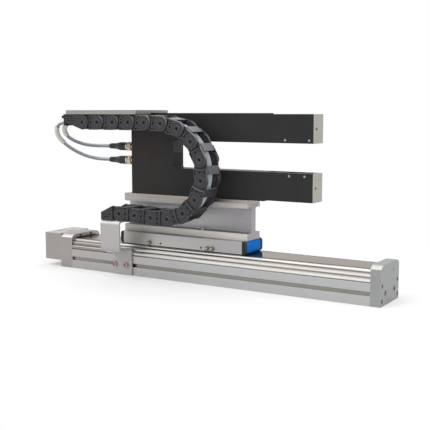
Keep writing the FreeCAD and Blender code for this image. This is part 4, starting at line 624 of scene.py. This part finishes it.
@dataclass
class FinishShop:
    """Makes each finish once as a material and puts it on pieces."""

    materials: dict[Slot, Material] = field(default_factory=dict)
    own: dict[str, Material] = field(default_factory=dict)

    def open(self) -> None:
        """Build the node groups and one material for each finish."""
        EffectGroups().build()
        self.materials = {slot: self.make(slot.value, finish) for slot, finish in FINISHES.items()}
        self.own = {name: self.make(name, finish) for name, finish in OWN_FINISHES.items()}
        made = len(self.materials) + len(self.own)
        LOG.info("made %d materials from %d groups", made, len(Wiring.groups))

    def tinted(self, wiring: Wiring, finish: Finish) -> object:
        """Lay a finish's tints, mostly painted light and shade, over its colour.

        Args:
            wiring: The material's wiring.
            finish: The finish.

        Returns:
            The colour, as a constant where there is no tint and as a socket otherwise.
        """
        colour: object = as_seen(finish.colour)
        for tint in finish.tints:
            mask = wiring.effect("facing_mask", {
                "Way": tint.way.value, "Start": tint.start, "Full": tint.full, "Fade": tint.fade * MM,
                "Low": metres((tint.right_of, -FAR, tint.above)),
                "High": metres((tint.left_of, FAR, tint.below)),
            })["Mask"]
            colour = wiring.blend(mask, colour, as_seen(tint.colour))
        return colour

    def make(self, name: str, finish: Finish) -> Material:
        """Make the material of one finish.

        Args:
            name: Name of the material.
            finish: The finish to make.

        Returns:
            The material.
        """
        material = bpy.data.materials.new(f"finish_{name}")
        wiring = Wiring.of(material)
        radius = finish.soften * MM
        grain = wiring.effect("surface_grain", {"Lay": finish.lay.value, "Scale": 1.0 / (finish.grain * MM)})
        mottle = wiring.effect("handling_mottle", {"Scale": MOTTLE_SCALE})["Tone"]
        edge = wiring.effect("edge_mask", {"Radius": radius})["Mask"]
        colour = wiring.effect("dressed_colour", {
            "Colour": self.tinted(wiring, finish), "Edge Colour": as_seen(finish.edge), "Edge": edge,
            "Grain": grain["Tone"], "Contrast": finish.contrast, "Mottle": mottle, "Depth": finish.mottle,
            "Rub": finish.wear_and_sheen,
        })["Colour"]
        rough = wiring.effect("dressed_roughness", {
            "Roughness": finish.roughness, "Grain": grain["Tone"], "Mottle": mottle, "Edge": edge,
        })["Roughness"]
        normal = wiring.effect("softened_relief", {
            "Height": grain["Height"], "Distance": finish.relief * MM, "Radius": radius,
        })["Normal"]
        # Painted shade: narrow gaps are darkened towards near black.
        if finish.crevice_shade:
            gap_shade = wiring.effect("crevice_mask", {"Reach": CREVICE_SHADE_REACH * MM})["Mask"]
            share = wiring.math("MULTIPLY", gap_shade, finish.crevice_shade)
            colour = wiring.blend(share, colour, as_seen(CREVICE_SHADE_COLOUR))
        shader = wiring.add("ShaderNodeBsdfPrincipled", {
            "Base Color": colour, "Roughness": rough, "Normal": normal, "Metallic": finish.metallic,
            "Specular IOR Level": finish.gloss, "Specular Tint": as_seen(finish.glance),
            "Coat Weight": finish.coat, "Coat Roughness": COAT_ROUGHNESS,
        })
        wiring.add("ShaderNodeOutputMaterial", {"Surface": shader.outputs["BSDF"]})
        return material

    def dress(self, piece: Piece, slot: Slot) -> None:
        """Put a piece's own finish on it, or else the finish of its slot.

        Args:
            piece: The piece to dress.
            slot: Its slot.
        """
        own = (material for label, material in self.own.items() if piece.name.startswith(label))
        material = next(own, self.materials[slot])
        if not piece.data.materials:
            piece.data.materials.append(material)
        for place in piece.material_slots:
            place.material = material


# Modelling


class Bench:
    """The modelling bench, where one piece at a time is shaped with Blender's operators."""

    @staticmethod
    def clear() -> None:
        """Deselect every object."""
        bpy.ops.object.select_all(action="DESELECT")

    @classmethod
    def take(cls, piece: Piece) -> None:
        """Make a piece the only selected object and the active one.

        Args:
            piece: The piece.
        """
        cls.clear()
        piece.select_set(True)
        bpy.context.view_layer.objects.active = piece

    @classmethod
    @contextmanager
    def editing(cls, piece: Piece) -> Iterator[None]:
        """Hold a piece in edit mode, with all of it selected, while the caller shapes it.

        Args:
            piece: The piece.

        Yields:
            Nothing, once the piece is ready to be shaped.
        """
        cls.take(piece)
        bpy.ops.object.mode_set(mode="EDIT")
        bpy.ops.mesh.select_all(action="SELECT")
        try:
            yield
        finally:
            bpy.ops.object.mode_set(mode="OBJECT")

    @staticmethod
    def set_down(name: str) -> Piece:
        """Name the active piece and bring its place, turn and size into its mesh.

        Args:
            name: Name of the piece.

        Returns:
            The piece.
        """
        piece = bpy.context.object
        piece.name = name
        piece.data.name = name
        bpy.ops.object.transform_apply(location=True, rotation=True, scale=True)
        return piece

    @classmethod
    def smooth(cls, piece: Piece, degrees: float) -> None:
        """Shade a piece smooth across edges flatter than an angle."""
        cls.take(piece)
        bpy.ops.object.shade_smooth_by_angle(angle=math.radians(degrees))

    @classmethod
    def turned(
        cls, name: str, start: Vector, axis: Axis, profile: Sequence[Span], sides: int = 32,
        hollow: bool = False,
    ) -> Piece:
        """Make a turned piece by extruding and scaling one ring along its profile.

        Args:
            name: Name of the piece.
            start: Point on the axis that the profile is measured from, in metres.
            axis: Direction of the profile.
            profile: Pairs of distance along the axis and radius, in millimetres.
            sides: Vertices of the ring.
            hollow: Whether the profile closes on itself round a bore, instead of ending in two lids.

        Returns:
            The piece.
        """
        cls.clear()
        first, radius = profile[0]
        bpy.ops.mesh.primitive_circle_add(
            vertices=sides, radius=radius * MM, fill_type="NOTHING", location=start + axis.way * first * MM,
            rotation=axis.turn,
        )
        piece = cls.set_down(name)
        with cls.editing(piece):
            if not hollow:
                bpy.ops.mesh.edge_face_add()
                bpy.ops.mesh.select_all(action="SELECT")
            stations = list(profile) + ([profile[0]] if hollow else [])
            for (before, was), (after, now) in zip(stations, stations[1:]):
                bpy.ops.mesh.extrude_region_move(
                    TRANSFORM_OT_translate={"value": axis.way * (after - before) * MM},
                )
                bpy.ops.transform.resize(
                    value=(now / was,) * 3, center_override=start + axis.way * after * MM,
                )
            bpy.ops.mesh.select_all(action="SELECT")
            bpy.ops.mesh.remove_doubles(threshold=MERGE_DISTANCE)
            bpy.ops.mesh.normals_make_consistent(inside=False)
        return piece

    @classmethod
    def bar(cls, name: str, first: Point, last: Point) -> Piece:
        """Make a bar between two opposite corners, with softened edges.

        Args:
            name: Name of the bar.
            first: One corner in millimetres.
            last: The other corner.

        Returns:
            The bar.
        """
        sides = [sorted(pair) for pair in zip(first, last)]
        low, high = (metres([side[end] for side in sides]) for end in (0, 1))
        cls.clear()
        bpy.ops.mesh.primitive_cube_add(size=1.0, location=(low + high) / 2)
        bpy.context.object.scale = high - low
        bar = cls.set_down(name)
        with cls.editing(bar):
            bpy.ops.mesh.bevel(offset=BAR_EDGE * MM, segments=2, affect="EDGES")
        return bar

    @staticmethod
    def curve(name: str, kind: str, places: Sequence[Vector], radius: float) -> Piece:
        """Make a curve through, or guided by, a row of points.

        Args:
            name: Name of the curve.
            kind: Kind of its spline, "POLY" or "NURBS".
            places: The points in metres.
            radius: Radius of the tube around it in millimetres, or 0 for a bare line.

        Returns:
            The curve object.
        """
        data = bpy.data.curves.new(name, "CURVE")
        data.dimensions = "3D"
        data.resolution_u = 10
        data.bevel_depth = radius * MM
        data.bevel_resolution = 5
        spline = data.splines.new(kind)
        spline.points.add(len(places) - 1)
        for knot, place in zip(spline.points, places):
            knot.co = (*place, 1.0)
        spline.order_u = 3
        spline.use_endpoint_u = True
        line = bpy.data.objects.new(name, data)
        bpy.context.scene.collection.objects.link(line)
        return line

    @classmethod
    def copy_of_node(cls, node: Piece, name: str) -> Piece:
        """Copy a solid's mesh into a new piece and merge its loose triangles.

        Args:
            node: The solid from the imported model.
            name: Name of the new piece.

        Returns:
            The new piece.
        """
        piece = bpy.data.objects.new(name, node.data.copy())
        bpy.context.scene.collection.objects.link(piece)
        cls.take(piece)
        bpy.ops.mesh.customdata_custom_splitnormals_clear()
        with cls.editing(piece):
            bpy.ops.mesh.remove_doubles(threshold=MERGE_DISTANCE)
        return piece


@dataclass
class Workshop:
    """What every sub-assembly needs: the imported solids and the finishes."""

    nodes: dict[str, Piece]
    shop: FinishShop

    def dress_solids(self, parts: list[dict]) -> None:
        """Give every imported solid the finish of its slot.

        Args:
            parts: The record's rows of the solids.
        """
        for part in parts:
            self.shop.dress(self.nodes[part.get("node") or part["name"]], Slot(part["material_slot"]))
        LOG.info("dressed %d solids", len(parts))

    def deliver(
        self, piece: Piece, slot: Slot, body: Body | None, *replaced: str, smooth: float | None = None,
    ) -> None:
        """Dress a new piece, put it on its body and hide the solids that it stands for.

        Args:
            piece: The new piece.
            slot: Its finish.
            body: The body that it rides on, or None to put it on no body.
            *replaced: Names of the solids that it stands for.
            smooth: Angle in degrees up to which its edges are shaded smooth, if any are.
        """
        if smooth:
            Bench.smooth(piece, smooth)
        self.shop.dress(piece, slot)
        if body is not None:
            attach(piece, body.value)
        if replaced:
            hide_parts(*replaced)
        LOG.info("%s on %s", piece.name, body.value if body else "rail and carriage")


# Sub-assemblies


@dataclass
class Assembly:
    """A sub-assembly and the workshop that it is made in."""

    workshop: Workshop


@dataclass
class SensorCable(Assembly):
    """One sensor cable from the chain's comb to its plug on the column."""

    name: str  # Name of the cable and of its solid
    length: float  # Length of the line in metres
    sleeve: Span  # Shares of the line where the label sleeve starts and ends
    route: tuple[Point, ...]  # Control points of its line in millimetres
    radius: float = 3.1  # Radius of the cable in millimetres
    sleeve_wall: float = 1.1  # Wall of the sleeve
    sleeve_gap: float = 0.05  # Gap between sleeve and cable

    def make_cable(self, with_pieces: Sequence[Piece]) -> None:
        """Args:
            with_pieces: The pieces that sit on the cable; not used.
        """
        places = [metres(place) for place in self.route]
        cable = Bench.curve(f"sensor_{self.name}", "NURBS", places, self.radius)
        cable.data.use_fill_caps = True
        self.workshop.deliver(cable, Slot.JACKET, Body.CARRIAGE, self.name)

    def sleeve_places(self) -> list[Vector]:
        """Sample the cable's line and keep what lies under the label sleeve.

        Returns:
            The points in metres.
        """
        line = Bench.curve(f"{self.name}_line", "NURBS", [metres(place) for place in self.route], 0.0)
        sampled = bpy.data.meshes.new_from_object(line.evaluated_get(bpy.context.evaluated_depsgraph_get()))
        places = [vertex.co.copy() for vertex in sampled.vertices]
        bpy.data.meshes.remove(sampled)
        bpy.data.objects.remove(line)
        steps = [(after - before).length for before, after in zip(places, places[1:])]
        start, end = (share * sum(steps) for share in self.sleeve)
        walked = [sum(steps[:number]) for number in range(len(places))]
        return [place for place, way in zip(places, walked) if start <= way <= end]

    def make_sleeve(self) -> Piece:
        """Make the label sleeve along part of the cable's line.

        Returns:
            The sleeve.
        """
        outer = self.radius + self.sleeve_wall
        Bench.take(Bench.curve(f"{self.name}_sleeve", "POLY", self.sleeve_places(), outer))
        bpy.ops.object.convert(target="MESH")
        sleeve = bpy.context.object
        wall = sleeve.modifiers.new("wall", "SOLIDIFY")
        wall.thickness = (self.sleeve_wall - self.sleeve_gap) * MM
        wall.offset = -1.0
        bpy.ops.object.modifier_apply(modifier="wall")
        self.workshop.deliver(sleeve, Slot.SLEEVE, Body.CARRIAGE, "cable_sleeves", smooth=50.0)
        return sleeve


@dataclass
class Plug(Assembly):
    """A round connector: knurled nut and moulded plug body."""

    name: str  # Start of the pieces' names
    height: float  # Height of its axis in millimetres
    near: float = -169.2  # Where the nut starts, along X
    nut_length: float = 11.0  # Length of the nut
    nut_radius: float = 7.5  # Radius over the knurl
    bore_radius: float = 5.2  # Radius of the nut's bore
    knurls: int = 30  # Number of ridges round the nut
    body_length: float = 37.0  # Length of the plug body
    body_radius: float = 7.0  # Radius of its grip
    neck_radius: float = 4.2  # Radius where the cable comes out
    knurl_depth: float = 0.5  # Depth of the knurl
    rings: int = 4  # Number of rings on the grip, and of ribs on the bend relief
    ring_start: float = 3.0  # Where the first ring starts on the body
    ring_pitch: float = 2.4  # Step from ring to ring
    ring_depth: float = 0.45  # Depth of the groove in a ring
    rib_pitch: float = 2.9  # Step from rib to rib
    rib_depth: float = 0.6  # Depth of the groove in a rib

    def make_nut(self) -> Piece:
        """Make the nut, with every second column of its rim pressed in.

        Returns:
            The nut.
        """
        radius, length, bore = self.nut_radius, self.nut_length, self.bore_radius
        start = metres((self.near, 0.0, self.height))
        profile = [
            (0.0, bore), (0.0, radius - 0.9), (0.7, radius - 0.3), (0.9, radius), (length * 0.62, radius),
            (length * 0.66, radius - 0.7), (length * 0.74, radius - 0.7), (length * 0.78, radius - 0.1),
            (length - 0.6, radius - 0.1), (length, radius - 0.8), (length, bore),
        ]
        nut = Bench.turned(f"{self.name}_nut", start, Axis.MINUS_X, profile, self.knurls * 2, hollow=True)
        edge = -length * 0.64 * MM
        pitch = math.pi / self.knurls
        with Bench.editing(nut):
            bpy.ops.mesh.select_all(action="DESELECT")
            mesh = bmesh.from_edit_mesh(nut.data)
            for vertex in mesh.verts:
                x, y, z = vertex.co - start
                on_rim = x > edge and math.hypot(y, z) > (radius - 0.2) * MM
                vertex.select = on_rim and round(math.atan2(y, z) / pitch) % 2 == 0
            mesh.select_flush(True)
            bmesh.update_edit_mesh(nut.data)
            factor = 1.0 - self.knurl_depth / radius
            bpy.ops.transform.resize(value=(1.0, factor, factor), center_override=start)
        self.workshop.deliver(nut, Slot.BRASS, Body.CARRIAGE, "plug_nuts", smooth=25.0)
        return nut

    def make_body(self) -> Piece:
        """Make the moulded body, with grip rings and a ribbed bend relief.

        Returns:
            The plug body.
        """
        start = metres((self.near - self.nut_length, 0.0, self.height))
        grip, neck, length = self.body_radius, self.neck_radius, self.body_length
        profile = [(0.0, grip - 1.2), (0.3, grip - 0.4), (0.9, grip)]
        for ring in range(self.rings):
            place = self.ring_start + ring * self.ring_pitch
            low = grip - self.ring_depth
            profile += [(place, grip), (place + 0.3, low), (place + 0.9, low), (place + 1.2, grip)]
        profile += [(length * 0.38, grip), (length * 0.46, grip - 0.6), (length * 0.6, neck * 1.25)]
        for ring in range(self.rings):
            place = length * 0.64 + ring * self.rib_pitch
            rib = neck * 1.2 - ring * 0.12
            low = rib - self.rib_depth
            profile += [(place, rib), (place + 0.3, low), (place + 1.2, low), (place + 1.5, rib)]
        profile += [(length - 0.5, neck * 1.04), (length, neck * 0.9)]
        body = Bench.turned(f"{self.name}_plug", start, Axis.MINUS_X, profile, 36)
        self.workshop.deliver(body, Slot.BLACK_PLASTIC, Body.CARRIAGE, "plug_bodies", smooth=40.0)
        return body


@dataclass
class SensorLeads(Assembly):
    """Both sensor cables with their plugs and sleeves."""

    # Name, length in metres, span of the sleeve and route in millimetres of each cable
    plans: tuple[tuple, ...] = (
        ("upper_cable", 0.1262, (0.155, 0.34), (
            (-253.95, -48.3, 256.85), (-264.5, -48.3, 256.85), (-274.2, -48.5, 253.2), (-280.0, -48.0, 244.3),
            (-278.4, -44.0, 233.9), (-272.5, -35.0, 225.8), (-264.5, -22.5, 219.6), (-255.5, -11.5, 216.3),
            (-243.5, -4.0, 215.3), (-230.5, 0.0, 215.3), (-217.25, 0.0, 215.3),
        )),
        ("lower_cable", 0.1611, (0.22, 0.43), (
            (-253.95, -55.3, 256.85), (-269.0, -55.3, 256.85), (-281.0, -55.4, 255.0), (-290.4, -55.2, 247.2),
            (-291.6, -52.3, 234.5), (-285.8, -44.0, 221.5), (-276.8, -31.0, 209.3), (-264.5, -16.5, 199.3),
            (-250.0, -5.7, 193.8), (-234.0, 0.0, 192.0), (-217.25, 0.0, 192.0),
        )),
    )

    def build(self) -> None:
        """Make plugs, sleeves and cables."""
        for plan in self.plans:
            cable = SensorCable(self.workshop, *plan)
            socket_height = cable.route[-1][2]
            plug = Plug(self.workshop, cable.name.replace("cable", "connector"), socket_height)
            cable.make_cable((plug.make_nut(), plug.make_body(), cable.make_sleeve()))


@dataclass
class ChainRun(Assembly):
    """A straight run of the energy chain, copied from its solids link by link."""

    links: Sequence[int]  # Numbers of its links, from the run's first pivot on
    cables: str  # Name of the cables inside it
    first_x: float  # Place of the first pivot along X in millimetres
    first_share: float  # Share of the carriage's travel at the first pivot
    last_share: float = 0.5  # Share at the last pivot
    pitch: float = 31.8  # Step from pivot to pivot

    @staticmethod
    def ease(share: float) -> float:
        """The place along a smooth blend, from 0 to 1, at which it reaches a share."""
        return 0.5 - math.sin(math.asin(1.0 - 2.0 * share) / 3.0)

    def follow(self, label: str, name: str, slot: Slot, first: int, last: int) -> None:
        """Copy a solid of the run, dress it and leave it where it stands, on no body.

        Args:
            label: Name of the solid.
            name: Name of the piece.
            slot: Finish of the piece.
            first: Its first pivot, counted from the run's first one; not used.
            last: Its last pivot; not used.
        """
        piece = Bench.copy_of_node(self.workshop.nodes[label], name)
        self.workshop.deliver(piece, slot, None, label, smooth=30.0)
        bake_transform(piece)

    def build(self) -> None:
        """Build each link and the cables."""
        for index, number in enumerate(self.links):
            label, name = f"chain_link_{number:02d}", f"chain_run_link_{number:02d}"
            self.follow(label, name, Slot.CHAIN, index, index + 1)
        name = self.cables.replace("chain", "run")
        self.follow(self.cables, name, Slot.CHAIN_JACKET, 0, len(self.links))


@dataclass
class EnergyChain(Assembly):
    """The straight runs of the energy chain; its bend and end brackets keep their solids."""

    # Links, cables, place of the first pivot and its share of the travel, for each run
    plans: tuple[tuple, ...] = (
        ((1, 2, 3, 4, 5), "chain_cables_upper", -218.95, 1.0),
        ((15, 14, 13), "chain_cables_lower", -144.3, 0.0),
    )

    def build(self) -> None:
        """Build both runs."""
        for plan in self.plans:
            ChainRun(self.workshop, *plan).build()


@dataclass
class HexSockets(Assembly):
    """Hexagon sockets set into the round recesses of the socket screws."""

    depth: float = 1.5  # Depth of a socket in millimetres
    sides: int = 24  # Vertices round each socket's rim
    across: float = 0.86  # Radius of the hexagon over its corners, as a share of the recess
    sunk: float = 0.12  # How far a socket's rim lies under the head's face
    end_plate_x: float = 292.65  # Place of the right end plate's screw heads along X
    # Distance from the middle, height and radius of the recess of the right end plate's screws
    end_plate_screws: tuple[Point, ...] = ((32.0, 7.5, 1.78), (32.0, 29.5, 1.78), (18.5, 17.6, 2.18))
    adapter_z: float = 88.2  # Height of the adapter's screw heads
    adapter_rim: float = 1.78  # Radius of their recesses
    bracket_rim: float = 2.12  # Radius of the recesses of the bracket's screws
    number: int = 0  # Number of the last socket made

    def set_in(self, place: Point, axis: Axis, rim: float, slot: Slot, body: Body) -> None:
        """Set a round slug with a hexagonal hole into a screw's head.

        Args:
            place: Middle of the head's outer face in millimetres.
            axis: Direction into the screw.
            rim: Radius of the head's round recess.
            slot: Finish of the screw.
            body: Body that the screw rides on.
        """
        self.number += 1
        centre = metres(place)
        profile = [(self.sunk, rim), (self.depth, rim)]
        slug = Bench.turned(f"hex_socket_{self.number:02d}", centre, axis, profile, self.sides)
        Bench.clear()
        bpy.ops.mesh.primitive_cylinder_add(
            vertices=6, radius=rim * self.across * MM, depth=self.depth * 1.6 * MM, location=centre,
            rotation=axis.turn,
        )
        cutter = Bench.set_down("hexagon")
        Bench.take(slug)
        hole = slug.modifiers.new("hexagon", "BOOLEAN")
        hole.operation = "DIFFERENCE"
        hole.object = cutter
        bpy.ops.object.modifier_apply(modifier="hexagon")
        bpy.data.objects.remove(cutter)
        self.workshop.deliver(slug, slot, body)

    def build(self) -> None:
        """Set a socket into each visible head of the right end plate, the adapter and the bracket."""
        for side, _ in SIDES:
            for y, z, rim in self.end_plate_screws:
                place = (self.end_plate_x, y * side, z)
                self.set_in(place, Axis.MINUS_X, rim, Slot.DARK_SCREW, Body.RAIL)
            place = (ADAPTER_SCREW[0], ADAPTER_SCREW[1] * side, self.adapter_z)
            self.set_in(place, Axis.MINUS_Z, self.adapter_rim, Slot.ZINC, Body.CARRIAGE)
        for place in BRACKET_SCREWS:
            self.set_in(place, Axis.PLUS_Y, self.bracket_rim, Slot.ZINC, Body.RAIL)


@dataclass
class SlimBars(Assembly):
    """Long thin pieces: glide liner, carriage lips, strip wipers and the strips in the side slots. The black
    lips and wipers are seals that also paint the shade of the gaps they fill.
    """

    # Stretches of the glide liner under the tray along X, Y and Z, in millimetres
    liner: tuple[Span, ...] = ((-218.0, -108.2), (-71.9, -31.6), (269.25, 269.98))
    carriage_x: Span = (-168.3, 62.3)  # Both ends of the carriage
    # Inner and outer side of the black lip under the carriage's long edge, from the middle; its black also
    # paints the shade of the gap under the carriage
    lip_y: Span = (26.8, 28.5)
    lip_z: Span = (52.2, 53.35)  # Bottom and top of the lip
    # Inner and outer side of the black wiper where the cover strip meets an end plate; it also paints the
    # shade of the gap there
    wiper_x: Span = (275.35, 276.65)
    wiper_y: Span = (-24.4, 24.4)  # Both edges of the cover strip
    wiper_z: Span = (52.02, 53.7)  # Bottom and top of the wiper
    # Both ends of each strip in the front and back slots, left out at the bracket's nuts
    slot_x: tuple[tuple[Span, ...], ...] = (((-270.4, -182.6), (-134.0, 276.6)), ((-276.6, 276.6),))
    slot_y: Span = (35.6, 36.7)  # Inner and outer side of a strip, from the middle
    slot_z: Span = (14.6, 20.6)  # Bottom and top of a strip

    def build(self) -> None:
        """Make every bar from its stretches along X, Y and Z."""
        rubber = Slot.BLACK_PLASTIC
        bars = [("tray_liner", self.liner, rubber, Body.CARRIAGE)]
        for side, label in SIDES:
            # A black seal lip along each long edge, which also paints the shade of the gap under the
            # carriage.
            lip_shade = (self.carriage_x, [y * side for y in self.lip_y], self.lip_z)
            bars.append((f"carriage_lip_{label}", lip_shade, rubber, Body.CARRIAGE))
        for side, label in ((-1, "left"), (1, "right")):
            # A black wiper at each end plate, which also paints the shade where the strip goes in.
            wiper_shade = ([x * side for x in self.wiper_x], self.wiper_y, self.wiper_z)
            bars.append((f"strip_wiper_{label}", wiper_shade, rubber, Body.RAIL))
        for (side, label), spans in zip(SIDES, self.slot_x):
            for number, span in enumerate(spans, start=1):
                strip = (span, [y * side for y in self.slot_y], self.slot_z)
                bars.append((f"slot_strip_{label}_{number}", strip, Slot.RAIL, Body.RAIL))
        for name, stretches, slot, body in bars:
            self.workshop.deliver(Bench.bar(name, *zip(*stretches)), slot, body, smooth=35.0)


@dataclass
class SmallHardware(Assembly):
    """Washers, black plugs in the carriage's pinholes that also paint the holes' shade, and the fitter's red
    marks on the bracket's screws.
    """

    washer_radii: Span = (3.64, 5.0)  # Inner and outer radius of a washer in millimetres
    washer_height: float = 1.0  # Height of its top over the adapter's foot
    washer_chamfer: Span = (0.2, 0.25)  # Height and width of the chamfer of its upper edge
    washer_gap: float = 0.02  # Gap between it and the foot
    pinholes: tuple[Point, ...] = ((-92.0, -28.2, 57.7), (-12.7, -28.2, 57.7))  # Places of the pinholes
    # Outline of a pinhole's black plug, which also paints the hole's shade, as distances from the face and
    # radii
    pinhole_plug: tuple[Span, ...] = ((-0.12, 1.4), (-0.02, 1.7), (0.6, 0.9))
    mark_radii: Span = (2.5, 4.25)  # Inner and outer radius of a mark
    mark_reach: Span = (-0.06, 0.9)  # Its front and back, from the face of the screw's head
    mark_flare: float = 0.08  # How much wider it is at the back
    mark_end: float = -0.9  # Where it is cut off along X, from the middle of the head

    def build(self) -> None:
        """Turn the pieces, and cut each mark back to its left part."""
        inner, outer = self.washer_radii
        low, high, (drop, width) = self.washer_gap, self.washer_height, self.washer_chamfer
        profile = [(low, inner), (low, outer), (high - drop, outer), (high, outer - width), (high, inner)]
        for side, label in SIDES:
            start = metres((ADAPTER_SCREW[0], ADAPTER_SCREW[1] * side, FOOT_TOP))
            washer = Bench.turned(f"adapter_washer_{label}", start, Axis.PLUS_Z, profile, 40, hollow=True)
            self.workshop.deliver(washer, Slot.ZINC, Body.CARRIAGE, smooth=35.0)
        for number, place in enumerate(self.pinholes, start=1):
            # The plug's black paints the shade inside the pinhole.
            name = f"pinhole_plug_{number}"
            plug = Bench.turned(name, metres(place), Axis.PLUS_Y, self.pinhole_plug, 24)
            self.workshop.deliver(plug, Slot.BLACK_PLASTIC, Body.CARRIAGE, smooth=35.0)
        inner, outer = self.mark_radii
        near, far = self.mark_reach
        profile = [(near, inner), (near, outer), (far, outer + self.mark_flare), (far, inner)]
        for number, place in enumerate(BRACKET_SCREWS, start=1):
            start = metres(place)
            ring = Bench.turned(f"paint_mark_{number}", start, Axis.PLUS_Y, profile, 40, hollow=True)
            with Bench.editing(ring):
                bpy.ops.mesh.bisect(
                    plane_co=start + metres((self.mark_end, 0.0, 0.0)), plane_no=(1.0, 0.0, 0.25),
                    use_fill=True, clear_outer=True,
                )
            self.workshop.deliver(ring, Slot.ZINC, Body.RAIL, smooth=35.0)


# Studio


@dataclass
class Studio:
    """A plain pale floor, soft lamps and the camera."""

    camera_place: Point = (0.6807, -1.1121, 0.2729)  # Place of the camera in metres
    camera_turn: Point = (82.81, 0.0, 31.61)  # Its rotation in degrees
    lens: float = 68.06  # Its focal length in millimetres
    floor_size: float = 40.0  # Side of the floor in metres
    floor_grey: float = 0.93  # How pale the floor is
    shadow_shape: Point = (1.0, 1.6, 1.0)  # How much sooner it goes over to white along each axis
    sky_level: float = 0.62  # Brightness of the surroundings for diffuse light
    # Distance in metres from the middle at which the floor has gone over to white
    shadow_reach: float = 0.95
    near_share: float = 0.45  # Share of that distance at which it begins to
    paper_lift: float = 0.3  # How far the floor is white paper already beside the object
    # Name, place in metres, side in metres and power in watts of each lamp
    lamps: tuple[tuple[str, Point, float, float], ...] = (
        ("key_panel", (-1.3, -1.5, 2.1), 2.7, 34.0),
        ("side_panel", (2.1, -0.6, 1.3), 1.9, 15.0),
        ("top_panel", (0.1, 0.5, 2.4), 2.4, 22.0),
    )
    aim: Point = (0.0, 0.0, 0.12)  # Point that the lamps face, in metres

    def build(self) -> None:
        """Set up camera, world, floor and lamps."""
        self.add_camera()
        self.add_world()
        self.add_floor()
        self.add_lamps()
        bpy.context.scene.view_settings.view_transform = "Standard"
        LOG.info("studio ready")

    def add_camera(self) -> None:
        """Add the camera at the photograph's angle."""
        data = bpy.data.cameras.new("camera")
        data.lens = self.lens
        data.sensor_width = 36.0
        data.clip_start = 0.01
        camera = bpy.data.objects.new("camera", data)
        camera.location = self.camera_place
        camera.rotation_euler = tuple(math.radians(angle) for angle in self.camera_turn)
        bpy.context.scene.collection.objects.link(camera)
        bpy.context.scene.camera = camera

    def add_world(self) -> None:
        """Surround the object with white for the eye and with soft light for diffuse surfaces."""
        world = bpy.data.worlds.new("studio")
        wiring = Wiring.of(world)
        white = wiring.math("MULTIPLY", wiring.seen(), 1.0 - self.sky_level)
        level = wiring.math("ADD", white, self.sky_level)
        backdrop = wiring.add("ShaderNodeBackground", {"Strength": level, "Color": (1.0, 1.0, 1.0, 1.0)})
        wiring.add("ShaderNodeOutputWorld", {"Surface": backdrop.outputs[0]})
        bpy.context.scene.world = world

    def add_floor(self) -> None:
        """Add the pale floor that the object stands on."""
        Bench.clear()
        bpy.ops.mesh.primitive_plane_add(size=self.floor_size)
        floor = bpy.context.object
        floor.name = "floor"
        material = bpy.data.materials.new("floor")
        wiring = Wiring.of(material)
        shader = wiring.add("ShaderNodeBsdfPrincipled", {
            "Base Color": (*(self.floor_grey,) * 3, 1.0), "Roughness": 0.9, "Specular IOR Level": 0.1,
        })
        place = wiring.vector("MULTIPLY", wiring.places()["Object"], self.shadow_shape)
        reach = wiring.vector("LENGTH", place, output="Value")
        far = wiring.stretch(reach, self.shadow_reach * self.near_share, self.shadow_reach)
        glow = wiring.math("ADD", wiring.math("MULTIPLY", far, 1.0 - self.paper_lift), self.paper_lift)
        white = wiring.add("ShaderNodeEmission")
        mixed = wiring.add("ShaderNodeMixShader", {
            0: wiring.math("MULTIPLY", glow, wiring.seen()), 1: shader.outputs[0], 2: white.outputs[0],
        })
        wiring.add("ShaderNodeOutputMaterial", {"Surface": mixed.outputs[0]})
        floor.data.materials.append(material)

    def add_lamps(self) -> None:
        """Add the soft square lamps that face the object."""
        for name, place, size, power in self.lamps:
            data = bpy.data.lights.new(name, "AREA")
            data.size = size
            data.energy = power
            lamp = bpy.data.objects.new(name, data)
            lamp.location = place
            way = Vector(self.aim) - Vector(place)
            lamp.rotation_euler = way.to_track_quat("-Z", "Y").to_euler()
            bpy.context.scene.collection.objects.link(lamp)


def main() -> None:
    """Load the frame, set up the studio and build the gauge."""
    logging.basicConfig(level=logging.INFO, format="%(message)s")
    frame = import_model()
    Studio().build()
    shop = FinishShop()
    shop.open()
    workshop = Workshop(frame["nodes"], shop)
    workshop.dress_solids(frame["record"]["subparts"])
    for assembly in (SensorLeads, EnergyChain, HexSockets, SlimBars, SmallHardware):
        assembly(workshop).build()


if __name__ == "__main__":
    main()
